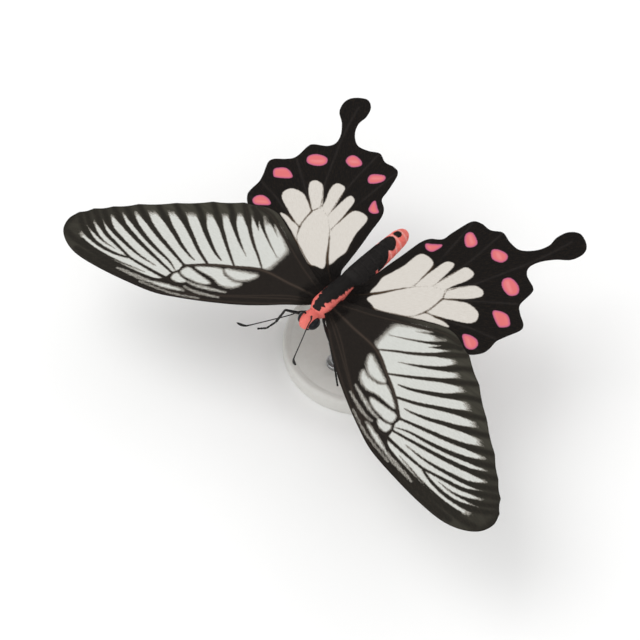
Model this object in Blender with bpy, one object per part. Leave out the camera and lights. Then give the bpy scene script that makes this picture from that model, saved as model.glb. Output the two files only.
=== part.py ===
"""A ceylon rose butterfly at life size, wings spread flat, held by a plain display stand.

Every size here is in millimetres and every mesh is scaled to metres as it is made.
The body frame has its origin in the middle of the body. +X is the animal's left, the
head points to -Y and +Z is up. A parent empty carries that frame above the stand.
"""

import math

import bmesh
import bpy
from mathutils import Vector
from mathutils.geometry import delaunay_2d_cdt

MM = 0.001
GAP = 0.3

# The body's middle over the floor, and how far it sits ahead of the wings' middle.
BODY_HEIGHT = 27.0
BODY_AHEAD = 2.76

# The display stand.
BASE_RADIUS = 17.0
BASE_THICKNESS = 4.0
BASE_EDGE = 0.8
BASE_ROUNDING = 0.3
BASE_CENTRE_Y = 3.0
BASE_SIDES = 48
ROD_RADIUS = 1.0
ROD_Y = -5.6
ROD_SIDES = 16

# The body: y, half width, height above the axis, depth below the axis.
BODY_SIDES = 20
RING_SPACING = 0.7
HEAD_ROWS = (
    (-16.1, 0.45, 0.45, 0.50),
    (-15.8, 0.95, 0.95, 1.05),
    (-15.1, 1.35, 1.35, 1.50),
    (-14.2, 1.62, 1.62, 1.75),
    (-13.2, 1.72, 1.70, 1.70),
    (-12.15, 1.62, 1.65, 1.50),
)
THORAX_ROWS = (
    (-11.85, 1.70, 1.75, 1.60),
    (-11.1, 2.05, 2.15, 2.00),
    (-10.0, 2.40, 2.60, 2.45),
    (-8.0, 2.62, 2.90, 2.80),
    (-6.0, 2.66, 2.88, 2.85),
    (-4.0, 2.56, 2.68, 2.65),
    (-2.15, 2.36, 2.40, 2.35),
)
ABDOMEN_ROWS = (
    (-1.85, 2.28, 2.38, 2.22),
    (0.0, 2.44, 2.60, 2.36),
    (4.0, 2.42, 2.60, 2.34),
    (8.0, 2.27, 2.46, 2.18),
    (12.0, 2.04, 2.22, 1.92),
    (14.0, 1.82, 2.00, 1.68),
    (15.2, 1.42, 1.58, 1.34),
    (15.8, 1.00, 1.14, 0.92),
    (16.1, 0.50, 0.58, 0.46),
)
SEGMENT_JOINTS = (0.2, 2.6, 5.0, 7.4, 9.7, 11.8, 13.6)
JOINT_DEPTH = 0.10
JOINT_HALF_WIDTH = 0.30
JOINT_CLEAR = 0.48

# The head's pieces. An eye bulges outwards and is flatter on its inner side.
EYE_CENTRE = (1.25, -13.9, -0.20)
EYE_OUTER = 1.20
EYE_INNER = 0.35
EYE_HALF_LENGTH = 1.50
EYE_HALF_HEIGHT = 1.45
EYE_MERIDIANS = 16
EYE_PARALLELS = 10
PALP_CENTRE = (0.50, -15.45, -0.80)
PALP_HALF_SIZE = (0.42, 0.62, 0.85)
PALP_MERIDIANS = 12
PALP_PARALLELS = 8
PROBOSCIS_CENTRE = (0.0, -13.60, -2.60)
PROBOSCIS_RADII = (0.72, 0.20)
PROBOSCIS_THICKNESS = (0.24, 0.14)
PROBOSCIS_TURNS = 1.1
PROBOSCIS_STEPS = 20
PROBOSCIS_ROOT_LENGTH = 0.45
THIN_SIDES = 6

# Antennae: a short base square to the head, a slender shaft, then a club that bends outwards.
ANTENNA_ROOT = (0.80, -13.85)
ANTENNA_PATH = (
    (1.08, -14.05, 1.97),
    (1.62, -14.85, 2.07),
    (2.25, -16.60, 2.20),
    (3.75, -19.80, 2.62),
    (5.05, -22.60, 3.08),
    (5.85, -24.30, 3.36),
    (6.30, -25.05, 3.52),
    (6.95, -25.60, 3.80),
    (7.80, -26.00, 4.15),
)
ANTENNA_RADII = (0.30, 0.29, 0.26, 0.25, 0.25, 0.26, 0.32, 0.42, 0.40, 0.12)
ANTENNA_SIDES = 8

# Legs: root on the thorax, hip, knee, ankle, middle of the foot, tip of the claws.
LEG_PATHS = {
    "leg_front": (
        (1.05, -10.30, -2.50),
        (1.35, -10.75, -3.15),
        (5.90, -14.20, -1.60),
        (7.86, -15.08, -6.40),
        (9.40, -16.20, -8.60),
        (10.85, -17.42, -8.85),
    ),
    "leg_mid": (
        (1.40, -7.70, -2.80),
        (1.75, -7.90, -3.50),
        (7.10, -7.10, -2.90),
        (8.60, -5.60, -8.10),
        (10.40, -4.70, -9.30),
        (12.40, -3.80, -9.40),
    ),
    "leg_hind": (
        (1.35, -3.60, -2.58),
        (1.70, -3.40, -3.25),
        (4.40, -0.80, -6.20),
        (4.60, 4.60, -8.80),
        (4.90, 7.20, -9.80),
        (5.40, 9.80, -10.00),
    ),
}
LEG_RADII = (0.42, 0.44, 0.36, 0.28, 0.27, 0.12)
FEMUR_SWELL = 0.46
FEMUR_BELLY = 0.45
LEG_SIDES = 8

# The wings lie in one plane that droops outwards and rises to the rear.
WING_RISE = 1.65
WING_DROOP = -0.036
WING_TILT = 0.075
WING_THICKNESS = 0.50
RIDGE_HEIGHT = 0.16
RIDGE_HALF_WIDTH = 0.42
RIDGE_FOOT_CLEARANCE = 0.36
ROOT_SWELL = 0.45
ROOT_REACH = 2.6
ROOT_GAP = 0.36
ROOT_EDGE_REACH = 3.07
ROOT_EDGE_SLACK = 0.2
OUTLINE_SPACING = 1.2
VEIN_SPACING = 2.2
FILL_SPACING = 3.6
FILL_CLEARANCE = 1.3
MARGIN_CLEARANCE = 0.33

# The forewing's rear edge is a line that the hindwing passes under. Each wing keeps its
# whole lift over the overlap and loses it over the stretch that follows.
REAR_EDGE_POINT = (9.7, -3.6)
REAR_EDGE_SLOPE = 0.475
FORE_LIFT = 0.25
FORE_LIFT_DEPTH = 6.0
FORE_LIFT_FADE = 7.0
HIND_LIFT = -0.70
HIND_LIFT_DEPTH = 0.5
HIND_LIFT_FADE = 5.0
SMOOTH_FACE_MARGIN = 0.8

FORE_ROOT_Y = (-10.9, -6.7)
FORE_LEADING_EDGE = (
    (6.0, -14.75),
    (12.0, -19.45),
    (18.0, -23.20),
    (24.0, -26.40),
    (29.0, -28.55),
    (36.0, -30.05),
    (43.0, -31.05),
    (48.5, -31.25),
    (52.5, -30.25),
    (55.3, -28.35),
    (56.45, -25.60),
)
FORE_MARGIN_ENDS = (
    (55.90, -23.10),
    (54.05, -20.45),
    (51.25, -17.65),
    (47.40, -13.90),
    (41.50, -9.00),
    (35.50, -3.95),
    (30.00, -0.20),
)
MARGIN_SCALLOP = 0.28
SCALLOP_STEPS = 4
FORE_REAR_EDGE = (
    (28.2, 0.40),
    (26.3, 1.35),
    (24.3, 1.95),
    (22.0, 1.82),
    (18.0, 0.20),
    (14.0, -1.58),
    (9.7, -3.62),
    (6.0, -5.15),
)
FORE_VEINS = {
    "costa": ((7.0, -14.7), (10.0, -17.1), (20.0, -23.6), (30.0, -28.1), (40.0, -29.9), (48.0, -30.4)),
    "subcosta": ((5.4, -11.9), (10.0, -15.6), (18.0, -21.2), (26.0, -26.0), (34.0, -29.0)),
    "radius": ((3.6, -9.9), (8.0, -13.4), (14.0, -18.0), (20.0, -22.3), (25.0, -24.1), (29.1, -24.3)),
    "radial_1": ((17.0, -20.4), (22.0, -24.1), (28.0, -27.0), (36.0, -29.2)),
    "radial_2": ((23.0, -23.6), (28.0, -26.4), (36.0, -28.4), (43.0, -29.5), (49.5, -30.1)),
    "radial_3": ((29.1, -24.3), (31.0, -26.0), (36.0, -27.2), (43.0, -28.3), (50.0, -28.7), (54.0, -28.2)),
    "radial_stem": ((29.1, -24.3), (34.0, -24.8), (38.6, -25.1)),
    "radial_4": ((38.6, -25.1), (42.0, -26.2), (47.0, -26.6), (52.0, -25.4), (55.2, -23.4)),
    "radial_5": ((38.6, -25.1), (43.0, -24.4), (48.0, -23.4), (53.4, -20.8)),
    "cell_end": ((29.1, -24.3), (28.9, -22.6), (28.3, -21.2), (28.5, -19.7)),
    "media_1": ((28.9, -22.6), (34.0, -21.9), (40.0, -21.0), (46.0, -19.7), (50.6, -17.9)),
    "media_2": ((28.5, -19.7), (33.0, -18.6), (38.0, -17.4), (43.0, -15.8), (46.8, -14.2)),
    "media_3": ((24.8, -16.6), (29.0, -15.0), (34.0, -12.5), (40.9, -9.3)),
    "cubitus": ((3.6, -8.9), (8.0, -10.0), (15.1, -10.9), (20.2, -13.7), (24.8, -16.6), (28.5, -19.7)),
    "cubital_1": ((20.2, -13.7), (24.0, -11.4), (28.0, -8.8), (34.9, -4.3)),
    "cubital_2": ((15.1, -10.9), (18.0, -8.9), (22.0, -6.4), (29.4, -0.7)),
    "anal": ((3.6, -7.8), (8.0, -5.9), (13.0, -3.8), (18.0, -1.6), (23.0, 0.5), (26.6, 0.7)),
}

HIND_ROOT_Y = (-6.0, -2.5)
HIND_OUTLINE = (
    (5.5, -7.1),
    (10.0, -7.6),
    (16.0, -6.2),
    (22.0, -3.7),
    (27.0, -1.3),
    (29.7, 0.2),
    (31.3, 2.0),
    (31.7, 3.8),
    (31.7, 6.0),
    (32.5, 8.2),
    (33.7, 10.9),
    (33.3, 12.4),
    (31.2, 14.0),
    (29.95, 15.6),
    (29.95, 19.2),
    (29.3, 20.5),
    (26.7, 21.9),
    (25.8, 23.6),
    (26.6, 26.0),
    (28.6, 28.5),
    (31.0, 30.5),
    (32.0, 33.2),
    (31.2, 35.4),
    (28.5, 36.85),
    (26.3, 35.6),
    (25.3, 33.0),
    (25.3, 30.4),
    (24.0, 27.8),
    (21.6, 25.9),
    (19.0, 26.1),
    (16.4, 27.0),
    (14.0, 25.9),
    (11.6, 26.0),
    (9.7, 24.9),
    (8.5, 20.4),
    (8.0, 17.9),
    (6.0, 16.2),
    (5.0, 14.2),
    (4.35, 10.2),
    (3.6, 6.0),
    (3.1, 2.0),
    (2.9, -0.6),
)
HIND_VEINS = {
    "subcosta": ((3.2, -5.4), (9.0, -6.2), (16.0, -4.7), (23.0, -2.2), (28.9, -0.1)),
    "radial_sector": ((3.2, -4.7), (9.0, -3.6), (14.8, -1.0), (20.0, 0.4), (25.5, 0.9), (30.4, 1.9)),
    "cell_end": ((14.8, -1.0), (16.8, 2.1), (17.4, 6.6), (16.6, 8.5)),
    "cubitus": ((3.2, -4.0), (6.2, -1.2), (9.0, 2.4), (11.2, 5.1), (13.9, 7.5), (16.6, 8.5)),
    "media_1": ((16.8, 2.1), (21.0, 3.4), (26.0, 5.0), (31.0, 6.2)),
    "media_2": ((17.4, 6.6), (22.0, 9.9), (26.0, 12.8), (29.4, 15.2)),
    "media_3": ((16.6, 8.5), (20.0, 13.6), (23.0, 19.8), (25.0, 24.2), (26.6, 28.2), (28.4, 34.0)),
    "cubital_1": ((13.9, 7.5), (15.0, 12.0), (15.9, 18.0), (16.4, 26.3)),
    "cubital_2": ((11.2, 5.1), (11.1, 10.0), (10.9, 16.0), (10.3, 24.6)),
    "anal": ((3.4, -3.2), (4.3, 2.0), (5.1, 7.0), (5.7, 12.0), (6.6, 15.8)),
}

BLACK = (0.012, 0.010, 0.009, 1.0)
CORAL = (0.78, 0.11, 0.09, 1.0)
CREAM = (0.70, 0.68, 0.62, 1.0)
EYE_BLACK = (0.010, 0.011, 0.018, 1.0)
PALE_GREY = (0.62, 0.62, 0.60, 1.0)
STEEL = (0.55, 0.56, 0.58, 1.0)


def clear_scene():
    """Removes whatever the scene holds."""
    for thing in list(bpy.data.objects):
        bpy.data.objects.remove(thing)


def finish(name, colour, roughness, metallic=0.0):
    """A plain material of one colour."""
    material = bpy.data.materials.new(name)
    material.use_nodes = True
    shader = material.node_tree.nodes["Principled BSDF"]
    shader.inputs["Base Color"].default_value = colour
    shader.inputs["Roughness"].default_value = roughness
    shader.inputs["Metallic"].default_value = metallic
    material.diffuse_color = colour
    return material


def add_object(name, shape, material, parent=None, smooth_angle=math.radians(40)):
    """Makes an object of a bmesh in millimetres, with its faces outwards."""
    bmesh.ops.scale(shape, vec=(MM, MM, MM), verts=shape.verts)
    bmesh.ops.recalc_face_normals(shape, faces=shape.faces)
    mesh = bpy.data.meshes.new(name)
    shape.to_mesh(mesh)
    shape.free()
    mesh.shade_smooth()
    mesh.set_sharp_from_angle(angle=smooth_angle)
    thing = bpy.data.objects.new(name, mesh)
    thing.data.materials.append(material)
    thing.parent = parent
    bpy.context.scene.collection.objects.link(thing)
    return thing


def smoothstep(value):
    """0 below 0, 1 above 1 and a smooth rise between."""
    value = min(max(value, 0.0), 1.0)
    return value * value * (3.0 - 2.0 * value)


def spline(points, spacing, closed=False):
    """Points about `spacing` apart on the smooth curve through the given ones."""
    knots = [Vector(point) for point in points]
    count = len(knots)
    spans = count if closed else count - 1
    if closed:
        around = [knots[-1]] + knots + knots[:2]
    else:
        around = [2 * knots[0] - knots[1]] + knots + [2 * knots[-1] - knots[-2]]
    curve = []
    for i in range(spans):
        before, start, end, after = around[i : i + 4]
        steps = max(1, round((end - start).length / spacing))
        pull_out = (end - before) * 0.5
        pull_in = (after - start) * 0.5
        for step in range(steps):
            t = step / steps
            curve.append(
                start * (2 * t**3 - 3 * t**2 + 1)
                + pull_out * (t**3 - 2 * t**2 + t)
                + end * (3 * t**2 - 2 * t**3)
                + pull_in * (t**3 - t**2)
            )
    if not closed:
        curve.append(knots[-1])
    return curve


def profile_at(rows, y):
    """Half width, height and depth of a body at y, on smooth curves through its rows."""
    y = min(max(y, rows[0][0]), rows[-1][0])
    last = len(rows) - 1
    i = next(k for k in range(last) if y <= rows[k + 1][0])
    start, end = rows[i], rows[i + 1]
    before, after = rows[max(i - 1, 0)], rows[min(i + 2, last)]
    span = end[0] - start[0]
    t = (y - start[0]) / span
    values = []
    for column in (1, 2, 3):
        out = span * (end[column] - before[column]) / (end[0] - before[0])
        into = span * (after[column] - start[column]) / (after[0] - start[0])
        values.append(
            start[column] * (2 * t**3 - 3 * t**2 + 1)
            + out * (t**3 - 2 * t**2 + t)
            + end[column] * (3 * t**2 - 2 * t**3)
            + into * (t**3 - t**2)
        )
    return values


def body_ring(y, size, shrink=0.0):
    """One cross-section of the body at y."""
    half_width, height, depth = size
    ring = []
    for i in range(BODY_SIDES):
        angle = 2 * math.pi * i / BODY_SIDES
        upright = height if math.sin(angle) > 0 else depth
        ring.append((
            (half_width - shrink) * math.cos(angle),
            y,
            (upright - shrink) * math.sin(angle),
        ))
    return ring


def loft(rings):
    """A closed shape through rings of equal count, with its two ends filled."""
    shape = bmesh.new()
    rows = [[shape.verts.new(point) for point in ring] for ring in rings]
    for row, following in zip(rows, rows[1:]):
        for i in range(len(row)):
            j = (i + 1) % len(row)
            shape.faces.new((row[i], row[j], following[j], following[i]))
    shape.faces.new(rows[0])
    shape.faces.new(rows[-1])
    return shape


def body_loft(rows, joints=()):
    """A stretch of the body, with a shallow groove at each joint between its segments."""
    start, end = rows[0][0], rows[-1][0]
    steps = round((end - start) / RING_SPACING)
    stations = {round(start + (end - start) * k / steps, 4): 0.0 for k in range(steps + 1)}
    for joint in joints:
        near = [y for y in stations if abs(y - joint) < JOINT_CLEAR]
        for y in near:
            del stations[y]
        stations[joint - JOINT_HALF_WIDTH] = 0.0
        stations[joint] = JOINT_DEPTH
        stations[joint + JOINT_HALF_WIDTH] = 0.0
    for y, *_ in rows[-3:]:
        stations.setdefault(y, 0.0)
    return loft([body_ring(y, profile_at(rows, y), stations[y]) for y in sorted(stations)])


def tube(path, radii, sides):
    """A closed tube along a path, with each ring square to the path's bend."""
    points = [Vector(point) for point in path]
    ways = [(b - a).normalized() for a, b in zip(points, points[1:])]
    turns = [ways[0]] + [(a + b).normalized() for a, b in zip(ways, ways[1:])] + [ways[-1]]
    side = ways[0].orthogonal().normalized()
    rings = []
    for point, way, radius in zip(points, turns, radii):
        side = (side - way * side.dot(way)).normalized()
        other = way.cross(side)
        rings.append([
            point + (side * math.cos(angle) + other * math.sin(angle)) * radius
            for angle in (2 * math.pi * k / sides for k in range(sides))
        ])
    return loft(rings)


def mirrored(shape):
    """The same shape on the animal's other side."""
    for vert in shape.verts:
        vert.co.x = -vert.co.x
    bmesh.ops.reverse_faces(shape, faces=shape.faces)
    return shape


def add_pair(name, make, material, parent):
    """The left piece and its mirror image on the right."""
    add_object(f"{name}_left", make(), material, parent)
    add_object(f"{name}_right", mirrored(make()), material, parent)


def ellipsoid(centre, half_sizes, meridians, parallels, inner=None):
    """An ellipsoid, which may reach a shorter way towards the body's middle."""
    shape = bmesh.new()
    bmesh.ops.create_uvsphere(shape, u_segments=meridians, v_segments=parallels, radius=1.0)
    for vert in shape.verts:
        x, y, z = vert.co
        reach = inner if inner is not None and x < 0 else half_sizes[0]
        vert.co = (centre[0] + x * reach, centre[1] + y * half_sizes[1], centre[2] + z * half_sizes[2])
    return shape


def eye_shape(grown=0.0):
    """The left eye, or the socket that leaves a gap round it."""
    half_sizes = (EYE_OUTER + grown, EYE_HALF_LENGTH + grown, EYE_HALF_HEIGHT + grown)
    return ellipsoid(EYE_CENTRE, half_sizes, EYE_MERIDIANS, EYE_PARALLELS, EYE_INNER + grown)


def apply_boolean(thing, others, operation):
    """Joins or cuts a mesh with others, removes those and keeps the largest closed surface."""
    group = bpy.data.collections.new(f"{thing.name}_others")
    bpy.context.scene.collection.children.link(group)
    for other in others:
        bpy.context.scene.collection.objects.unlink(other)
        group.objects.link(other)
    modifier = thing.modifiers.new(operation.lower(), "BOOLEAN")
    modifier.operation = operation
    modifier.operand_type = "COLLECTION"
    modifier.collection = group
    bpy.context.view_layer.update()
    graph = bpy.context.evaluated_depsgraph_get()
    mesh = bpy.data.meshes.new_from_object(thing.evaluated_get(graph))
    thing.modifiers.clear()
    thing.data = mesh
    for other in others:
        bpy.data.objects.remove(other)
    bpy.data.collections.remove(group)
    keep_largest_surface(mesh)


def area_around(verts):
    """The area of the surface that a set of corners belongs to."""
    return sum(face.calc_area() for face in {face for vert in verts for face in vert.link_faces})


def keep_largest_surface(mesh):
    """Deletes every loose surface of a mesh but the one with the most area."""
    shape = bmesh.new()
    shape.from_mesh(mesh)
    left = set(shape.verts)
    islands = []
    while left:
        island = {left.pop()}
        edge = list(island)
        while edge:
            vert = edge.pop()
            for link in vert.link_edges:
                other = link.other_vert(vert)
                if other in left:
                    left.remove(other)
                    island.add(other)
                    edge.append(other)
        islands.append(island)
    islands.sort(key=area_around)
    for island in islands[:-1]:
        bmesh.ops.delete(shape, geom=list(island), context="VERTS")
    shape.to_mesh(mesh)
    shape.free()


def build_head(parent, flesh, eye_finish):
    """The head with its palps and eye sockets, and the eyes in them."""
    head = add_object("head", body_loft(HEAD_ROWS), flesh, parent)
    palps = []
    for side in (1, -1):
        palp = ellipsoid(PALP_CENTRE, PALP_HALF_SIZE, PALP_MERIDIANS, PALP_PARALLELS)
        palps.append(add_object("palp", palp if side > 0 else mirrored(palp), flesh, parent))
    apply_boolean(head, palps, "UNION")
    sockets = [
        add_object("socket", eye_shape(GAP), flesh, parent),
        add_object("socket", mirrored(eye_shape(GAP)), flesh, parent),
    ]
    apply_boolean(head, sockets, "DIFFERENCE")
    add_pair("eye", eye_shape, eye_finish, parent)


def antenna_shape():
    """The left antenna, from just over the head's surface."""
    x, y = ANTENNA_ROOT
    half_width, height, _ = profile_at(HEAD_ROWS, y)
    z = height * math.sqrt(1.0 - (x / half_width) ** 2)
    out = Vector((x / half_width**2, 0.0, z / height**2)).normalized()
    root = Vector((x, y, z)) + out * GAP
    return tube((tuple(root),) + ANTENNA_PATH, ANTENNA_RADII, ANTENNA_SIDES)


def proboscis_path():
    """The drinking tube: down from the mouth, then coiled under the head."""
    _, centre_y, centre_z = PROBOSCIS_CENTRE
    outer, inner = PROBOSCIS_RADII
    path = []
    for step in range(PROBOSCIS_STEPS + 1):
        t = step / PROBOSCIS_STEPS
        angle = math.pi - 2 * math.pi * PROBOSCIS_TURNS * t
        radius = outer + (inner - outer) * t
        path.append((0.0, centre_y + radius * math.cos(angle), centre_z - radius * math.sin(angle)))
    root = (0.0, path[0][1], path[0][2] + PROBOSCIS_ROOT_LENGTH)
    return [root] + path


def build_proboscis(parent, material):
    """The coiled drinking tube."""
    path = proboscis_path()
    thick, thin = PROBOSCIS_THICKNESS
    radii = [thick + (thin - thick) * k / (len(path) - 1) for k in range(len(path))]
    add_object("proboscis", tube(path, radii, THIN_SIDES), material, parent)


def leg_shape(path):
    """One left leg: hip, swollen femur, tibia and a tapering foot."""
    points = [Vector(point) for point in path]
    middle = points[1].lerp(points[2], FEMUR_BELLY)
    radii = [LEG_RADII[0], LEG_RADII[1], FEMUR_SWELL] + list(LEG_RADII[2:])
    return tube(points[:2] + [middle] + points[2:], radii, LEG_SIDES)


def thorax_side(y, z):
    """How far the thorax reaches sideways at y and z."""
    half_width, height, depth = profile_at(THORAX_ROWS, y)
    share = z / (height if z > 0 else depth)
    return half_width * math.sqrt(max(0.05, 1.0 - share * share))


def behind_rear_edge(x, y):
    """How far a point lies behind the line of the forewing's rear edge."""
    return y - (REAR_EDGE_POINT[1] + REAR_EDGE_SLOPE * (x - REAR_EDGE_POINT[0]))


def wing_height(x, y, lift):
    """The wing's middle surface. Fore and hind wing part where they overlap."""
    behind = behind_rear_edge(x, y)
    if lift > 0:
        share = 1.0 - smoothstep((-behind - FORE_LIFT_DEPTH) / FORE_LIFT_FADE)
    else:
        share = 1.0 - smoothstep((behind - HIND_LIFT_DEPTH) / HIND_LIFT_FADE)
    return WING_RISE + WING_DROOP * x + WING_TILT * y + lift * share


def root_swell(x, y, root_y):
    """Extra half thickness near the root, where the wing meets the thorax."""
    near = smoothstep(1.0 - (x - THORAX_ROWS[3][1]) / ROOT_REACH)
    middle = 0.5 * (root_y[0] + root_y[1])
    reach = 0.5 * (root_y[1] - root_y[0])
    across = smoothstep(2.0 * (1.0 - abs(y - middle) / reach))
    return 0.5 * ROOT_SWELL * near * across


def distance_to_track(point, tracks):
    """How far a point is from the nearest vein."""
    best = math.inf
    for track in tracks:
        for start, end in zip(track, track[1:]):
            along = end - start
            t = (point - start).dot(along) / along.length_squared
            best = min(best, (point - start - along * min(max(t, 0.0), 1.0)).length)
    return best


def inside_outline(point, outline):
    """Whether a point lies within a closed outline."""
    inside = False
    for start, end in zip(outline, outline[1:] + outline[:1]):
        if (start.y > point.y) != (end.y > point.y):
            cross = start.x + (point.y - start.y) / (end.y - start.y) * (end.x - start.x)
            if point.x < cross:
                inside = not inside
    return inside


def shoulder(track, offset):
    """A vein's track moved sideways."""
    moved = []
    for i, point in enumerate(track):
        along = track[min(i + 1, len(track) - 1)] - track[max(i - 1, 0)]
        across = Vector((-along.y, along.x)).normalized()
        moved.append(point + across * offset)
    return moved


def planform(outline, tracks):
    """Triangles that fill an outline and follow the crest and foot of every vein."""
    points = list(outline)
    edges = []
    closed_outline = outline + outline[:1]
    for track in tracks:
        for offset in (0.0, RIDGE_HALF_WIDTH, -RIDGE_HALF_WIDTH):
            previous = None
            for point in shoulder(track, offset):
                clear = inside_outline(point, outline)
                clear = clear and distance_to_track(point, [closed_outline]) > MARGIN_CLEARANCE
                if offset:
                    clear = clear and distance_to_track(point, tracks) > RIDGE_FOOT_CLEARANCE
                if not clear:
                    previous = None
                    continue
                points.append(point)
                if previous is not None:
                    edges.append((previous, len(points) - 1))
                previous = len(points) - 1
    high_x = max(point.x for point in outline)
    low_y = min(point.y for point in outline)
    high_y = max(point.y for point in outline)
    rows = int((high_y - low_y) / FILL_SPACING)
    columns = int(high_x / FILL_SPACING) + 1
    for row in range(1, rows + 1):
        for column in range(columns):
            x = (column + 0.5 * (row % 2)) * FILL_SPACING
            point = Vector((x, low_y + row * FILL_SPACING))
            clear = inside_outline(point, outline)
            clear = clear and distance_to_track(point, [closed_outline]) > FILL_CLEARANCE
            if clear and distance_to_track(point, tracks) > FILL_CLEARANCE:
                points.append(point)
    flat = delaunay_2d_cdt(points, edges, [list(range(len(outline)))], 1, 1e-4)
    return flat[0], flat[2]


def wing_shape(outline, veins, lift, root_y):
    """A wing as one closed body, with its veins raised on both faces."""
    tracks = [spline(route, VEIN_SPACING) for route in veins.values()]
    points, triangles = planform(outline, tracks)
    shape = bmesh.new()
    faces = {1: [], -1: []}
    for point in points:
        x, y = point
        ridge = RIDGE_HEIGHT * max(0.0, 1.0 - distance_to_track(point, tracks) / RIDGE_HALF_WIDTH)
        behind = behind_rear_edge(x, y)
        hidden = behind > -FORE_LIFT_DEPTH if lift > 0 else behind < SMOOTH_FACE_MARGIN
        at_root = x < ROOT_EDGE_REACH and abs(2 * y - sum(root_y)) < root_y[1] - root_y[0] + ROOT_EDGE_SLACK
        for side in (1, -1):
            facing_other = side < 0 if lift > 0 else side > 0
            raised = 0.0 if hidden and facing_other else ridge
            half = 0.5 * WING_THICKNESS + root_swell(x, y, root_y) + raised
            z = wing_height(x, y, lift) + side * half
            edge_x = thorax_side(y, z) + ROOT_GAP if at_root else x
            faces[side].append(shape.verts.new((edge_x, y, z)))
    rim = {}
    for triangle in triangles:
        a, b, c = (points[i] for i in triangle)
        turn = (b - a).cross(c - a)
        corners = list(triangle) if turn > 0 else list(reversed(triangle))
        shape.faces.new([faces[1][i] for i in corners])
        shape.faces.new([faces[-1][i] for i in reversed(corners)])
        for start, end in zip(corners, corners[1:] + corners[:1]):
            if (end, start) in rim:
                del rim[end, start]
            else:
                rim[start, end] = True
    for start, end in rim:
        shape.faces.new((faces[1][end], faces[1][start], faces[-1][start], faces[-1][end]))
    return shape


def root_line(root_y, lift, steps=4):
    """The wing's edge along the thorax, from front to rear."""
    line = []
    for k in range(steps + 1):
        y = root_y[0] + (root_y[1] - root_y[0]) * k / steps
        z = wing_height(THORAX_ROWS[3][1], y, lift)
        line.append(Vector((thorax_side(y, z) + ROOT_GAP, y)))
    return line


def scalloped(ends):
    """A wing margin that dips a little between the ends of its veins."""
    edge = []
    for start, end in zip(ends, ends[1:]):
        start, end = Vector(start), Vector(end)
        along = end - start
        inwards = Vector((along.y, -along.x)).normalized()
        for step in range(SCALLOP_STEPS):
            t = step / SCALLOP_STEPS
            edge.append(start + along * t - inwards * (MARGIN_SCALLOP * math.sin(math.pi * t)))
    return edge + [Vector(ends[-1])]


def forewing_shape():
    """The left forewing."""
    root = root_line(FORE_ROOT_Y, FORE_LIFT)
    leading = spline([tuple(root[0])] + list(FORE_LEADING_EDGE) + [FORE_MARGIN_ENDS[0]], OUTLINE_SPACING)
    margin = scalloped(FORE_MARGIN_ENDS)
    rear = spline([FORE_MARGIN_ENDS[-1]] + list(FORE_REAR_EDGE) + [tuple(root[-1])], OUTLINE_SPACING)
    outline = leading[:-1] + margin[:-1] + rear[:-1] + list(reversed(root))[:-1]
    return wing_shape(outline, FORE_VEINS, FORE_LIFT, FORE_ROOT_Y)


def hindwing_shape():
    """The left hindwing, with its spoon-shaped tail."""
    root = root_line(HIND_ROOT_Y, HIND_LIFT)
    edge = spline([tuple(root[0])] + list(HIND_OUTLINE) + [tuple(root[-1])], OUTLINE_SPACING)
    outline = edge[:-1] + list(reversed(root))[:-1]
    return wing_shape(outline, HIND_VEINS, HIND_LIFT, HIND_ROOT_Y)


def base_profile():
    """Radius and height of the stand's base, from its underside up round its rim."""
    low, high = 0.0, BASE_THICKNESS
    return (
        (BASE_RADIUS - BASE_EDGE, low),
        (BASE_RADIUS, low + BASE_EDGE),
        (BASE_RADIUS, high - BASE_EDGE),
        (BASE_RADIUS - BASE_ROUNDING * BASE_EDGE, high - BASE_ROUNDING * BASE_EDGE),
        (BASE_RADIUS - BASE_EDGE, high),
    )


def circle(radius, centre_y, z, sides):
    """A level ring of points."""
    turn = 2 * math.pi / sides
    return [
        (radius * math.cos(turn * k), centre_y + radius * math.sin(turn * k), z) for k in range(sides)
    ]


def build_stand(base_finish, rod_finish):
    """The round base and the short rod up to the thorax."""
    centre_y = BASE_CENTRE_Y - BODY_AHEAD
    rod_y = ROD_Y - BODY_AHEAD
    rings = [circle(radius, centre_y, z, BASE_SIDES) for radius, z in base_profile()]
    add_object("stand_base", loft(rings), base_finish, smooth_angle=math.radians(25))
    top = BODY_HEIGHT - profile_at(THORAX_ROWS, ROD_Y)[2] - GAP
    rod = loft([
        circle(ROD_RADIUS, rod_y, BASE_THICKNESS + GAP, ROD_SIDES),
        circle(ROD_RADIUS, rod_y, top, ROD_SIDES),
    ])
    add_object("stand_rod", rod, rod_finish, smooth_angle=math.radians(25))


def main():
    """Builds the butterfly and its stand."""
    clear_scene()
    black = finish("black_scales", BLACK, 0.65)
    coral = finish("coral_hair", CORAL, 0.75)
    cream = finish("cream_scales", CREAM, 0.70)
    eye_finish = finish("eye", EYE_BLACK, 0.25)
    base_finish = finish("stand_white", PALE_GREY, 0.5)
    rod_finish = finish("stand_steel", STEEL, 0.3, 1.0)

    body = bpy.data.objects.new("body_frame", None)
    body.location = (0.0, -BODY_AHEAD * MM, BODY_HEIGHT * MM)
    bpy.context.scene.collection.objects.link(body)

    build_head(body, coral, eye_finish)
    add_pair("antenna", antenna_shape, black, body)
    build_proboscis(body, black)
    add_object("thorax", body_loft(THORAX_ROWS), black, body)
    add_object("abdomen", body_loft(ABDOMEN_ROWS, SEGMENT_JOINTS), black, body)
    for name, path in LEG_PATHS.items():
        add_pair(name, lambda path=path: leg_shape(path), black, body)
    add_pair("forewing", forewing_shape, black, body)
    add_pair("hindwing", hindwing_shape, cream, body)
    build_stand(base_finish, rod_finish)


main()
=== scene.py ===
"""The looks of a life-size ceylon rose butterfly on its display stand.

Sizes are in millimetres in the body's own frame until a mesh is made: its origin is in
the middle of the body, +X is the animal's left, the head points to -Y and +Z is up.
"""

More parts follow.
